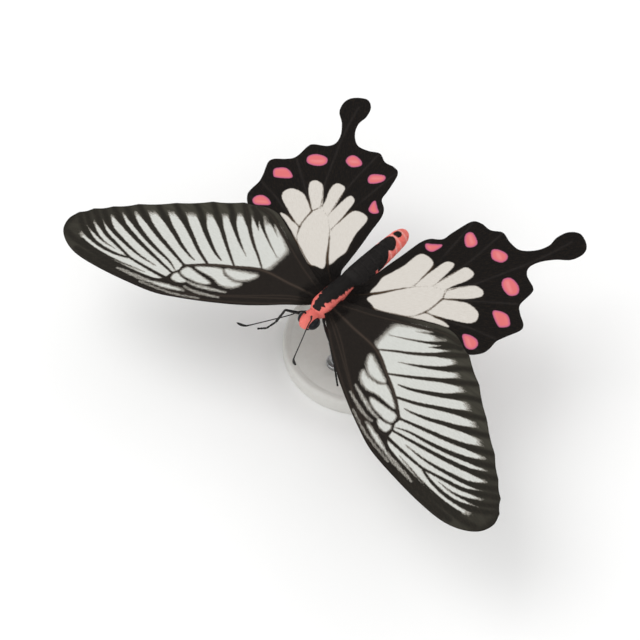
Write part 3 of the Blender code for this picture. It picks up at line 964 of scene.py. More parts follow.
    def dressed_values(self, flat: Array) -> Values:
        """Every attribute that the wing's material reads.

        Args:
            flat: Flat points on the left wing.

        Returns:
            The markings, and the ray coordinates of the streaks.
        """
        values = self.markings(flat)
        offset = flat - np.array(self.ray_origin)
        angle = np.arctan2(offset[:, 1], offset[:, 0])
        radius = np.linalg.norm(offset, axis=1)
        values["ray"] = np.column_stack([radius, angle * self.ray_gain, np.zeros(len(flat))])
        return values

    def add_veins(self, side: Side, material: Material) -> Object:
        """Makes the veins as tapered tubes that stand proud on both faces.

        Args:
            side: The animal's side.
            material: The wing's material.

        Returns:
            The finished veins.
        """
        edge = self.outline()
        paths, girths = [], []
        for track in self.tracks():
            flat = spline(track[::2], self.vein_step)
            depth = depth_inside(flat, edge)
            flat, depth = flat[depth > self.vein_margin], depth[depth > self.vein_margin]
            start, end = self.vein_radii
            from_root = np.hypot(flat[:, 0], flat[:, 1] - self.vein_root_y)
            root = smoothstep((self.vein_taper - from_root) / self.vein_taper)
            narrowing = smoothstep(depth / self.vein_narrowing + self.vein_end)
            girths.append((end + (start - end) * root) * narrowing)
            paths.append(np.column_stack([flat, self.height(flat, np.zeros(len(flat)))]) * side.flip)
        piece = make_tubes(f"{self.name}_veins_{side.suffix}", paths, np.concatenate(girths), material)
        return self.marked(piece, side)

    def marked(self, piece: Object, side: Side) -> Object:
        """Gives a finished mesh on the wing the wing's own markings, and delivers it."""
        flat = BODY.found(vectors(piece.data.vertices, "co")) * side.flip
        attach(piece.data, self.dressed_values(flat[:, :2]))
        return deliver(piece, Slot.WING)

    def add_root_hair(self, side: Side, coat: "Coat") -> Object:
        """Grows hair over the wing's root, on both faces.

        Args:
            side: The animal's side.
            coat: The coat of hair.

        Returns:
            The finished hair.
        """
        points, faces, _ = self.membrane
        count = len(points)
        lower = np.arange(count) >= count // 2
        out = points - np.array((self.hair_root_x, sum(self.root_y) / 2, 0.0))
        out[:, 2] = 0.0
        reach = np.linalg.norm(out, axis=1)
        way = out / reach[:, None]
        way[:, 2] = np.where(lower, -self.hair_lift, self.hair_lift)
        width, height = self.map_size
        u = 0.02 + points[:, 0] / width + 0.5 * lower
        values = {
            "way": way * side.flip,
            "length": np.ones(count),
            "cover": smoothstep((self.hair_reach - reach) / self.hair_fade),
            "root_place": np.column_stack([u, 0.5 + points[:, 1] / height, np.zeros(count)]),
        }
        near = faces[(reach[faces] < self.hair_reach).all(axis=1)]
        bed = make_mesh(f"{self.name}_root", *mirrored(points, near, side), values)
        return coat.grow(f"{self.name}_root_hair_{side.suffix}", bed)

    def add_fringe(self, side: Side, tuft: Object, material: Material) -> Object:
        """Makes the fringe of scales round the wing's edge.

        Args:
            side: The animal's side.
            tuft: The fringe's tuft.
            material: The wing's material.

        Returns:
            The finished fringe.
        """
        loop = self.outline()
        edge = inset(loop, self.inset + self.fringe_inset)
        out = loop - inset(loop, 1.0)
        kept = self.fringed(edge)
        edge, out = edge[kept], out[kept]
        gaps = np.linalg.norm(np.diff(np.vstack([edge[-1:], edge]), axis=0), axis=1)
        start = int(np.argmax(gaps))
        edge, out = np.roll(edge, -start, axis=0), np.roll(out, -start, axis=0)
        path = np.column_stack([edge, self.height(edge, self.vein_distance(edge))]) * side.flip
        way = np.column_stack([out, np.zeros(len(edge))]) * side.flip
        bed = strands(f"{self.name}_edge", [path], {"way": way, "length": np.ones(len(edge))})
        piece = plant(
            Scatter.PATH, bed, f"{self.name}_fringe_{side.suffix}", tuft, material,
            self.fringe_spacing, self.fringe_sizes, self.fringe_disorder,
        )
        return self.marked(piece, side)


def deepest(points: Array, loops: tuple[Path, ...], spacing: float) -> Array:
    """Signed distance of points to the nearest of several smooth loops, above 0 inside it."""
    return np.max([depth_inside(points, spline(loop, spacing, closed=True)) for loop in loops], axis=0)


def blended_least(values: list[Array], blend: float) -> Array:
    """The least of several values, with a rounded change from one to another."""
    stack = np.array(values)
    least = stack.min(axis=0)
    return least - blend * np.log(np.exp(-(stack - least) / blend).sum(axis=0))


@dataclass
class ForeWing(Wing):
    """The forewing: off-white fingers between dark veins and dark stripes."""

    leading_edge: Path = (
        (6, -14.75), (12, -19.45), (18, -23.2), (24, -26.4), (29, -28.55), (36, -30.05),
        (43, -31.05), (48.5, -31.25), (52.5, -30.25), (55.3, -28.35), (56.45, -25.6),
    )
    margin_ends: Path = (
        (55.9, -23.1), (54.05, -20.45), (51.25, -17.65), (47.4, -13.9), (41.5, -9),
        (35.5, -3.95), (30, -0.2),
    )
    rear_edge: Path = (
        (28.2, 0.4), (26.3, 1.35), (24.3, 1.95), (22, 1.82), (18, 0.2), (14, -1.58),
        (9.7, -3.62), (6, -5.15),
    )
    root_points: int = 12
    bare_reach: float = 1.0
    scallop: float = 0.17
    scallop_power: float = 1.2
    tip_slope: float = 0.2
    tip_rounding: float = 0.13
    tip_flare: float = 0.26
    line_gain: float = 1.22
    lift_side: float = -1.0
    lift_end: Rise = Rise(6, 7)
    # each vein's route, and the half width of the dark along it at its start and end
    dark_veins: dict[str, tuple[Path, float, float]] = field(default_factory=lambda: {
        "costa": (((5, -13.4), (10, -17.3), (20, -23.8), (30, -28.4), (40, -30.1), (48, -30.6)), 0.3, 0.3),
        "subcosta": (((3, -10.9), (10, -15.6), (18, -21.2), (26, -26), (34, -29)), 0.3, 0.3),
        "radius": (((2, -9.8), (8, -13.4), (14, -18), (20, -22.3), (25, -24.1), (29.1, -24.3)), 0.3, 0.3),
        "radial_1": (((17, -20.4), (22, -24.1), (28, -27), (36, -29.2)), 0.25, 0.3),
        "radial_2": (((23, -23.6), (28, -26.4), (36, -28.4), (43, -29.5), (49.5, -30.1)), 0.28, 0.4),
        "radial_3": (
            ((29.1, -24.3), (31, -26), (36, -27.2), (43, -28.3), (50, -28.7), (54, -28.2)), 0.26, 0.5),
        "radial_stem": (((29.1, -24.3), (34, -24.8), (38.6, -25.1)), 0.3, 0.22),
        "radial_4": (((38.6, -25.1), (42, -26.2), (47, -26.6), (52, -25.4), (55.2, -23.4)), 0.2, 0.5),
        "radial_5": (((38.6, -25.1), (43, -24.4), (48, -23.4), (53.4, -20.8)), 0.2, 0.5),
        "cell_end": (((29.1, -24.3), (28.9, -22.6), (28.3, -21.2), (28.5, -19.7)), 0.4, 0.36),
        "media_1": (((28.9, -22.6), (34, -21.9), (40, -21), (46, -19.7), (50.6, -17.9)), 0.2, 0.55),
        "media_2": (((28.5, -19.7), (33, -18.6), (38, -17.4), (43, -15.8), (46.8, -14.2)), 0.22, 0.6),
        "media_3": (((24.8, -16.6), (29, -15), (34, -12.5), (40.9, -9.3)), 0.22, 0.6),
        "cubitus": (
            ((2, -8.9), (8, -10), (15.1, -10.9), (20.2, -13.7), (24.8, -16.6), (28.5, -19.7)), 0.3, 0.26),
        "cubital_1": (((20.2, -13.7), (24, -11.4), (28, -8.8), (34.9, -4.3)), 0.17, 0.58),
        "cubital_2": (((15.1, -10.9), (18, -8.9), (22, -6.4), (29.4, -0.7)), 0.13, 0.5),
        "anal": (((2, -7.8), (8, -5.9), (13, -3.8), (18, -1.6), (23, 0.5), (26.6, 0.7)), 0.2, 0.3),
    })
    # the dark stripes between the veins, told like them
    stripes: tuple[tuple[Path, float, float], ...] = (
        (((15, -6.7), (19, -4.7), (22.2, -2.9), (24.6, -1.2), (27.6, 0)), 0.02, 0.34),
        (((20, -10.3), (24, -8.2), (28, -5.6), (30.5, -3.4), (32.7, -2.1)), 0, 0.62),
        (((23.5, -14.1), (26, -13.3), (29, -11.8), (32, -10.1), (35.5, -7.6), (38.4, -6.3)), 0.12, 0.68),
        (((27.9, -17.4), (30, -17), (33, -16.1), (35.4, -15.1), (39.5, -13.5), (43.9, -11.6)), 0.1, 0.66),
        (((29.4, -21.6), (32, -20.7), (36, -20.1), (40, -19.3), (45, -17.8), (49.4, -15.8)), 0.1, 0.6),
        (((33, -23.3), (38, -23.4), (43, -22.8), (48, -21.7), (52.6, -19.2)), 0.04, 0.56),
        (((42.8, -25.3), (46, -25.4), (49, -24.8), (52, -23.7), (54.9, -21.9)), 0, 0.5),
        (((33.8, -25.8), (37, -26.5), (41, -27.35), (46, -27.95), (50, -28)), 0.05, 0.3),
        (((22.6, -3.9), (24.1, -2.7), (26.2, -0.7)), 0, 0.4),
        (((18.2, -2.8), (19.9, -1.85), (21.6, -0.8), (22.8, 0)), -0.05, 0.25),
    )
    # where white can show, and what of it lies outside the cell
    white_field: Path = (
        (14.3, -4.4), (15.6, -3.1), (18.2, -1.5), (20.6, -0.6), (22.4, -1.4), (24.2, -0.9),
        (26.2, -2.2), (28.5, -3.2), (30.8, -5.1), (33.5, -7), (36.7, -9.2), (40.3, -11.5),
        (43.9, -14.2), (46.4, -16.2), (49.3, -19.4), (51, -22), (51.7, -24.5), (51, -27.4),
        (48.4, -29.6), (40, -30.5), (29, -28), (22, -21), (15.6, -15), (14.5, -11.5), (14.1, -7.6),
    )
    beyond_cell: Path = (
        (12, -10.3), (15.1, -10.9), (20.2, -13.7), (24.8, -16.6), (28.5, -19.7), (28.3, -21.2),
        (28.9, -22.6), (29.1, -24.3), (31, -25.9), (36, -27.15), (43, -28.2), (47.6, -28.5),
        (52, -27.2), (60, -27), (60, 6), (12, 6),
    )
    # the white inside the cell
    islands: tuple[Path, ...] = (
        ((15.2, -12.3), (19.7, -14.3), (21.3, -15.2), (20.4, -15.95), (18, -16), (16.3, -15), (15.3, -13.7)),
        ((16.2, -16), (17.1, -17.8), (19.5, -18.8), (22, -18.4), (26.4, -18.7), (25.2, -17.5), (23, -16.1),
         (21.7, -15.65), (20.5, -16.4), (18.2, -16.5)),
        ((21.4, -19.6), (22.5, -20.8), (25, -21.4), (27.5, -21.6), (28.15, -20.9), (27.6, -19.5),
         (25, -19.45)),
        ((25.4, -22.3), (26.6, -23.5), (28.3, -23.7), (28.75, -22.7), (28.3, -21.9), (27, -22.15)),
    )
    # pale streaks along the front edge: route, half width and greatest depth
    streaks: tuple[tuple[Path, float, float], ...] = (
        (((17.3, -19.5), (20, -20.6), (23, -21.8), (25.2, -22.2)), 0.26, 0.05),
        (((17.5, -21.3), (21, -22.7), (23, -23.3), (24.9, -23.5)), 0.17, 0),
        (((24.3, -24.4), (26, -25), (29, -26.1), (31.6, -26.95)), 0.42, 0.4),
        (((29.5, -26.3), (32, -27.1), (35, -27.75), (39, -28.5)), 0.26, 0),
        (((20.5, -23.9), (24, -25.6), (27, -26.7), (33, -28.2)), 0.06, -0.02),
    )
    # how the white is made from them
    vein_power: float = 1.1
    stripe_power: float = 0.8
    far: float = 9.0
    field_step: float = 0.6
    flare_depth: Rise = Rise(0, 3.5)
    flare_zone: Rise = Rise(20, 6)
    island_step: float = 0.3
    island_slope: float = 0.3
    island_zone: Rise = Rise(17, 8)
    streak_step: float = 0.4
    streak_ends: Pair = (0.04, 0.92)
    streak_power: float = 0.6
    streak_slope: float = 0.46
    # what tints the dark: how much and how far off, or where it starts
    brown_veins: Pair = (0.35, 0.15)
    brown_stem: Pair = (0.75, 0.24)
    brown_zone: Rise = Rise(20, 16)
    border_way: Pair = (0.8, 0.6)
    border_y: float = -12.0
    border_zone: Rise = Rise(13, 13)
    smear_most: float = 0.78
    smear_zone: Rise = Rise(0.2, 0.8)
    smear_band: Pair = (-1.2, 1.6)
    tip_clearing: float = 0.45
    tip_zone: Rise = Rise(40, 12)

    def outline(self) -> Array:
        """The forewing's edge, with its margin drawn in a little between the veins."""
        front, rear = self.root_y
        x0 = self.root_x
        leading = spline(((x0, front), *self.leading_edge, self.margin_ends[0]), self.edge_spacing)
        trailing = spline((self.margin_ends[-1], *self.rear_edge, (x0, rear)), self.edge_spacing)
        margin = []
        for start, end in zip(self.margin_ends, self.margin_ends[1:]):
            start, end = np.array(start), np.array(end)
            along = end - start
            inwards = np.array((-along[1], along[0])) / np.linalg.norm(along)
            steps = round(float(np.linalg.norm(along)) / self.edge_spacing)
            t = (np.arange(steps) / steps)[:, None]
            dip = self.scallop * np.sin(math.pi * t) ** self.scallop_power
            margin.append(start + along * t + inwards * dip)
        return np.vstack([leading[:-1], *margin, trailing[:-1], self.root_edge()])

    def veins(self) -> dict[str, Path]:
        """The routes of the forewing's veins."""
        return {name: route for name, (route, _, _) in self.dark_veins.items()}

    def fringed(self, points: Array) -> Array:
        """The outer margin and the rear edge."""
        return near_line(points, spline(self.leading_edge, self.track_step))[0] > self.bare_reach

    def markings(self, points: Array) -> Values:
        """Fingers, cell islands and streaks of white, and what tints the dark.

        Args:
            points: Flat points of the membrane.

        Returns:
            The attributes that the wing's material reads.
        """
        x, y = points[:, 0], points[:, 1]
        routes = [(*line, self.vein_power) for line in self.dark_veins.values()]
        routes += [(*line, self.stripe_power) for line in self.stripes]
        middle = np.full(len(points), self.far)
        tracks = middle.copy()
        for route, start, end, power in routes:
            distance, share = near_line(points, spline(route, self.track_step))
            middle = np.minimum(middle, distance)
            tracks = np.minimum(tracks, distance - self.line_gain * (start + (end - start) * share**power))
        depth = depth_inside(points, spline(self.white_field, self.field_step, closed=True))
        flare = self.tip_flare * (1 - self.flare_depth(depth)) * self.flare_zone(x)
        beyond = depth_inside(points, np.array(self.beyond_cell))
        white = blended_least([depth * self.tip_slope, beyond, tracks - flare], self.tip_rounding)
        island_edge = self.island_slope + self.island_slope * self.island_zone(x)
        white = np.maximum(white, island_edge * deepest(points, self.islands, self.island_step))
        for route, half_width, most in self.streaks:
            distance, share = near_line(points, spline(route, self.streak_step))
            fade = np.sin(math.pi * np.clip(share, *self.streak_ends)) ** self.streak_power
            white = np.maximum(white, np.minimum(self.streak_slope * (half_width * fade - distance), most))
        most, reach = self.brown_veins
        near_vein = most * bell(self.vein_distance(points), reach)
        most, reach = self.brown_stem
        stem = near_line(points, spline(self.dark_veins["cubitus"][0], self.track_step))[0]
        brown = np.maximum(near_vein, most * bell(stem, reach))
        along, across = self.border_way
        outwards = self.border_zone(x * along + (y - self.border_y) * across)
        smear = self.smear_most * outwards * self.smear_zone(middle)
        smear *= 1 - self.tip_clearing * self.tip_zone(x)
        centre, half = self.smear_band
        return {
            "white_depth": np.clip(white, -self.limit, self.limit),
            "pink_depth": np.full(len(points), -self.limit),
            "brownness": brown * (1 - self.brown_zone(x)),
            "border": outwards,
            "smear": smear * smoothstep(2 - np.abs(depth - centre) / half),
        }


@dataclass
class HindWing(Wing):
    """The hindwing: white cell and fingers, six coral spots and a spoon-shaped tail."""

    edge: Path = (
        (5.5, -7.1), (10, -7.6), (16, -6.2), (22, -3.7), (27, -1.3), (29.7, 0.2), (31.3, 2),
        (31.7, 3.8), (31.7, 6), (32.5, 8.2), (33.7, 10.9), (33.3, 12.4), (31.2, 14), (29.95, 15.6),
        (29.95, 19.2), (29.3, 20.5), (26.7, 21.9), (25.8, 23.6), (26.6, 26), (28.6, 28.5), (31, 30.5),
        (32, 33.2), (31.2, 35.4), (28.5, 36.85), (26.3, 35.6), (25.3, 33), (25.3, 30.4), (24, 27.8),
        (21.6, 25.9), (19, 26.1), (16.4, 27), (14, 25.9), (11.6, 26), (9.7, 24.9), (8.5, 20.4),
        (8, 17.9), (6, 16.2), (5, 14.2), (4.35, 10.2), (3.6, 6), (3, 2), (2.6, -0.6),
    )
    routes: dict[str, Path] = field(default_factory=lambda: {
        "subcosta": ((2.6, -5.4), (9, -6.2), (16, -4.7), (23, -2.2), (28.9, -0.1)),
        "radial_sector": ((2.6, -4.7), (9, -3.6), (14.8, -1), (20, 0.4), (25.5, 0.9), (30.4, 1.9)),
        "cell_front": ((14.8, -1), (16.8, 2.1), (17.4, 6.6)),
        "cell_end": ((17.4, 6.6), (16.6, 8.4)),
        "cubitus": ((2.6, -4.2), (6.2, -1.2), (9, 2.4), (11.2, 5.1), (13.9, 7.5), (16.6, 8.4)),
        "media_1": ((16.8, 2.1), (21, 3.2), (26, 5), (31, 6.2)),
        "media_2": ((17.4, 6.6), (22, 9.9), (26, 12.8), (29.4, 15.2)),
        "media_3": ((16.6, 8.4), (20, 13.6), (23, 19.8), (25, 24.2), (26.6, 28.2), (28.4, 34)),
        "cubital_1": ((13.9, 7.5), (15, 12), (15.9, 18), (16.4, 26.3)),
        "cubital_2": ((11.2, 5.1), (11.1, 10), (10.9, 16), (10.3, 24.6)),
        "anal": ((2.9, -3.2), (4.3, 2), (5.1, 7), (5.7, 12), (6.6, 15.8)),
    })
    fingers: tuple[Path, ...] = (
        ((14.6, -0.9), (17, 0.2), (20, 1.5), (22.4, 2.4), (21.3, 2.8), (19, 2.35), (16.9, 1.9)),
        ((16.9, 2.35), (19, 2.9), (21.6, 4), (24.6, 5.5), (25.6, 6.8), (25.3, 8.1), (24.2, 8.95),
         (22, 9.05), (20.3, 8.3), (17.7, 6.6), (17.2, 4.5)),
        ((17.5, 7), (19, 8.1), (21.2, 9.9), (22.6, 11.6), (22.8, 12.7), (22.2, 13.3), (20.9, 13.4),
         (19.6, 12.6), (18, 10.8), (16.95, 9.4), (16.9, 8.5)),
        ((14.2, 7.75), (16.3, 8.7), (17, 10.4), (18.2, 13), (18.5, 14.8), (18, 15.5), (16.7, 15.7),
         (15.8, 15), (15, 12.5), (14.35, 9.7)),
        ((11.35, 5.5), (13.8, 7.75), (14.1, 10), (14.15, 13), (13.9, 14.5), (13, 14.6), (12.1, 13.7),
         (11.6, 11), (11.25, 8)),
        ((5.4, -1.4), (7.1, 0.2), (10.75, 5.2), (10.95, 8), (10.85, 11), (10.3, 12.2), (9, 12.65),
         (7.6, 12.5), (6.75, 11.4), (6.4, 8), (5.6, 5), (4.95, 3), (5.2, 1)),
        ((5.8, -2.7), (7.4, -3.3), (9.7, -3.6), (14.4, -1), (16.5, 2.1), (17.2, 6.5), (16.5, 8.2),
         (14.1, 7.3), (11.2, 4.9), (7.5, 0.1)),
    )
    spots: tuple[Path, ...] = (
        ((25.6, 2.9), (26.8, 1.7), (28, 1), (29, 1.2), (29.5, 2), (29.3, 3.1), (28.3, 3.8), (26.7, 3.7)),
        ((26.8, 10.8), (27.4, 10.1), (29.6, 8.9), (30.5, 9.2), (31.3, 10.3), (30.6, 11.3), (29.5, 12),
         (28.2, 11.9), (27, 11.3)),
        ((23.6, 17.9), (24.2, 16.8), (25.6, 16), (27, 15.9), (27.9, 17), (27.4, 18.3), (26.1, 19.1),
         (24.7, 19.3), (23.9, 18.8)),
        ((17.4, 22.1), (18.2, 20.9), (19.2, 20.5), (20.7, 21), (21.1, 22.2), (20.5, 23.2), (19.3, 23.3),
         (18, 22.9)),
        ((11, 21.5), (11.8, 20.3), (13, 19.5), (14, 20.3), (14.1, 21.5), (13, 22.4), (11.8, 22.9),
         (11.1, 22.5)),
        ((6.3, 14.7), (6.9, 13.9), (7.9, 13.8), (8.6, 14.3), (9.1, 16), (8.9, 16.7), (8.2, 16.2),
         (7.2, 15.4)),
    )
    # the dark lines across the white: half width at the start and the end
    vein_lines: tuple[tuple[str, float, float], ...] = (
        ("cell_front", 0.02, 0.22), ("cell_end", 0.06, 0.04), ("cubitus", 0.42, -0.42),
        ("media_1", 0.12, 0.2), ("media_2", 0.16, 0.9), ("media_3", 0.02, 1.1),
        ("cubital_1", -0.05, 1.0), ("cubital_2", -0.02, 0.8), ("radial_sector", 0.1, 0.1),
    )
    line_step: float = 0.4
    line_power: float = 1.6
    faintest_line: float = -0.05
    finger_step: float = 0.3
    spot_step: float = 0.25
    # the white that joins the fingers across the end of the cubitus
    join_zone: Rise = Rise(0.5, 0.15)
    join_reach: float = 0.45
    join_drop: float = 0.75
    fringe_from: Pair = (3.0, 1.0)
    # what tints the dark, and where the coral is pale: in the spots' middles, within bands of painted sheen
    brown_reach: float = 0.22
    brown_most: float = 0.6
    inner_middle: Pair = (9.0, 2.0)
    inner_zone: Rise = Rise(10, 5)
    white_zone: Rise = Rise(-0.5, 0.5)
    notch_zone: Rise = Rise(0.5, -0.5)
    notch_smear: float = 0.3
    vein_smear: float = 0.45
    border: float = 0.35
    sheen_waves: Pair = (1.7, 2.3)
    sheen_zone: Rise = Rise(-0.2, 1.2)
    pale_zone: Rise = Rise(0.25, 0.9)

    def outline(self) -> Array:
        """The hindwing's edge, round its tail."""
        front, rear = self.root_y
        x0 = self.root_x
        loop = spline(((x0, front), *self.edge, (x0, rear)), self.edge_spacing)
        return np.vstack([loop[:-1], self.root_edge()])

    def veins(self) -> dict[str, Path]:
        """The routes of the hindwing's veins."""
        return self.routes

    def fringed(self, points: Array) -> Array:
        """All but the edge under the forewing."""
        return (points > self.fringe_from).all(axis=1)

    def markings(self, points: Array) -> Values:
        """White fingers and cell, coral spots, and brown veins across the white.

        Args:
            points: Flat points of the membrane.

        Returns:
            The attributes that the wing's material reads.
        """
        x, y = points[:, 0], points[:, 1]
        distance, share = near_line(points, spline(self.routes["cubitus"], self.line_step))
        beside = self.join_reach + self.join_drop * (self.join_zone(share) - 1) - distance
        fingers = np.maximum(deepest(points, self.fingers, self.finger_step), beside)
        lines = []
        for name, start, end in self.vein_lines:
            distance, share = near_line(points, spline(self.routes[name], self.line_step))
            half_width = np.maximum(start + (end - start) * share**self.line_power, self.faintest_line)
            lines.append(distance - half_width)
        white = np.minimum(fingers, np.min(lines, axis=0))
        pink = deepest(points, self.spots, self.spot_step)
        near = bell(self.vein_distance(points), self.brown_reach)
        x0, y0 = self.inner_middle
        inner = 1 - self.inner_zone(np.hypot(x - x0, y - y0))
        notch = self.notch_zone(depth_inside(points, self.outline()))
        # bands of painted sheen, a painted highlight that pales the coral spots' middles
        sheen = self.sheen_zone(np.sin(x * self.sheen_waves[0] + y * self.sheen_waves[1]))
        return {
            "white_depth": np.clip(white, -self.limit, self.limit),
            "pink_depth": np.maximum(pink, -self.limit),
            "pink_pale": self.pale_zone(pink) * sheen,
            "brownness": self.brown_most * near * inner * self.white_zone(fingers),
            "border": np.full(len(points), self.border),
            "smear": self.vein_smear * near * (1.0 - inner) + self.notch_smear * notch,
        }


def tuft_mesh(name: str, points: list, faces: list, tips: list[float], spots: list) -> Object:
    """Makes the object that a planting copies, outside the scene.

    Args:
        name: The object's name.
        points: Its points in millimetres, growing along +Z.
        faces: The corners of each face.
        tips: How near the tip each point is.
        spots: Each point's place on the tuft's patch of the map.

    Returns:
        The object.
    """
    mesh = bpy.data.meshes.new(name)
    mesh.from_pydata((np.array(points) * MM).tolist(), [], faces)
    attach(mesh, {"tip": np.array(tips), "spot": np.array(spots)})
    return bpy.data.objects.new(name, mesh)


@dataclass(frozen=True)
class Tuft:
    """A few tapering blades that stand on one spot."""

    blades: int = 4
    length: float = 0.5
    radius: float = 0.022
    spread: float = 0.07
    splay: float = 0.28
    curl: float = 0.16
    joints: tuple[float, ...] = (0.0, 0.5)

    def build(self, name: str) -> Object:
        """Makes the tuft, with its growth along +Z, outside the scene.

        Args:
            name: The object's name.

        Returns:
            The tuft, for a tree to copy.
        """
        rng = np.random.default_rng(SEED)
        points, faces, tips, spots = [], [], [], []
        for k in range(self.blades):
            turn = FULL_TURN * (k + 0.35 * rng.random()) / self.blades
            out = np.array((math.cos(turn), math.sin(turn), 0.0))
            across = np.array((-out[1], out[0], 0.0))
            reach = self.length * (0.75 + 0.45 * rng.random())
            first = len(points)
            for share in (*self.joints, 1.0):
                lean = self.splay * share + self.curl * share**2
                middle = out * (self.spread + reach * lean) + np.array((0.0, 0.0, reach * share))
                thick = self.radius * (1.0 - share) ** 0.6
                corners = (0, 1, 2) if share < 1.0 else (0,)
                for corner in corners:
                    angle = FULL_TURN * corner / 3
                    offset = across * math.cos(angle) + out * math.sin(angle)
                    points.append(middle + offset * thick)
                    tips.append(share)
                    spots.append((
                        0.5 + 0.3 * out[0] + 0.1 * offset[0], 0.5 + 0.3 * out[1] + 0.1 * share, 0.0,
                    ))
            faces.extend(self.blade_faces(first))
        tuft = tuft_mesh(name, points, faces, tips, spots)
        tuft.data.shade_smooth()
        return tuft

    def blade_faces(self, first: int) -> list[tuple[int, ...]]:
        """The faces of one blade, whose foot is closed.

        Args:
            first: The number of its first point.

        Returns:
            Its faces, outwards.
        """
        rings = len(self.joints)
        faces: list[tuple[int, ...]] = [(first + 2, first + 1, first)]
        for ring in range(rings - 1):
            a = first + 3 * ring
            for k in range(3):
                j = (k + 1) % 3
                faces.append((a + k, a + j, a + 3 + j, a + 3 + k))
        last = first + 3 * (rings - 1)
        faces.extend((last + k, last + (k + 1) % 3, last + 3) for k in range(3))
        return faces


@dataclass(frozen=True)
class Leaf:
    """A flat pointed scale with a low crest, closed underneath."""

    length: float = 0.24
    width: float = 0.12
    crest: float = 0.01

    def build(self, name: str) -> Object:
        """Makes the scale, with its growth along +Z and its face towards +Y.

        Args:
            name: The object's name.

        Returns:
            The scale, for a tree to copy.
        """
        half = 0.5 * self.width
        long = self.length
        points = [
            (0, 0, 0), (half, 0, 0.35 * long), (0.6 * half, 0, 0.85 * long), (0, 0, long),
            (-0.6 * half, 0.0, 0.85 * long), (-half, 0.0, 0.35 * long), (0.0, self.crest, 0.55 * long),
        ]
        faces = [(0, 1, 6), (1, 2, 6), (2, 3, 6), (3, 4, 6), (4, 5, 6), (5, 0, 6), (5, 4, 3, 2, 1, 0)]
        tips = [point[2] / long for point in points]
        spots = [(0.5 + point[0] / self.width, point[2] / long, 0.0) for point in points]
        return tuft_mesh(name, points, [face[::-1] for face in faces], tips, spots)


@dataclass
class Coat:
    """Copies of a tuft over a bed, as one closed mesh with its map for baking."""

    tuft: Object
    material: Material
    slot: Slot
    spacing: float
    sizes: Pair = (0.75, 1.25)
    disorder: float = 0.22
    patch: float = 0.003

    def grow(self, name: str, bed: Object) -> Object:
        """Plants a bed.

        Args:
            name: The coat's name.
            bed: A surface with way, length and root_place attributes.

        Returns:
            The finished coat.
        """
        piece = plant(
            Scatter.SURFACE, bed, name, self.tuft, self.material, self.spacing, self.sizes, self.disorder,
        )
        self.lay_map(piece.data)
        return deliver(piece, self.slot)

    def lay_map(self, mesh: Mesh) -> None:
        """Lays each tuft on a small patch where its root stands.

        Args:
            mesh: The coat's mesh, with root_place and spot on its points.
        """
        root, spot = (vectors(mesh.attributes[key].data, "vector") for key in ("root_place", "spot"))
        place = root[:, :2] + (spot[:, :2] - 0.5) * self.patch
        corners = np.zeros(len(mesh.loops), np.int32)
        mesh.loops.foreach_get("vertex_index", corners)
        layer = mesh.uv_layers.new(name="OFBake")
        layer.data.foreach_set("uv", place[corners].astype(np.float32).ravel())
        for key in ("root_place", "spot", "way", "length", "cover"):
            if key in mesh.attributes:
                mesh.attributes.remove(mesh.attributes[key])


@dataclass(frozen=True)
class BodyFinish:
    """Short hair or scales that are coral where the body is red and black elsewhere."""

    name: str
    black: Colour = pigment("141110")
    black_light: Colour = pigment("2f2a27")
    red: Colour = pigment("ff9d93")
    red_deep: Colour = pigment("f9776c")
    red_pale: Colour = pigment("ffc8c0")
    roughness: float = 0.62
    specular: float = 0.2
    ragged: float = 0.3
    changing: Pair = (0.38, 0.62)
    grain: Triple = (26000.0, 5200.0, 26000.0)
    relief: float = 0.00006
    tufted: bool = False

    def material(self) -> Material:
        """Builds the material.

        Returns:
            A material that reads redness and paleness.
        """
        web = Web(self.name, self.roughness, self.specular)
        place = web.place()
        fine = web.noise(web.scaled(place, self.grain), 1.0, 3.0)
        broad = web.noise(place, 1900.0, 2.0)
        redness = web.math("ADD", web.value("redness"), -0.5 * self.ragged)
        edge = web.math("MULTIPLY_ADD", fine, self.ragged, redness)
        share = web.between(edge, *self.changing)
        if self.tufted:
            tint = web.value("tint")
            tip = web.value("tip")
            lightness = web.math("MULTIPLY_ADD", tip, 0.45, web.math("MULTIPLY", tint, 0.45), clamp=True)
        else:
            lightness = web.between(fine, 0.35, 0.75)
        red = web.mix(lightness, self.red_deep, self.red)
        red = web.mix(web.math("MULTIPLY", web.value("paleness"), 0.9), red, self.red_pale)
        black = web.mix(web.math("MULTIPLY", lightness, broad), self.black, self.black_light)
        web.colour(web.mix(share, black, red))
        web.bump(fine, 0.6, self.relief)
        return web.material


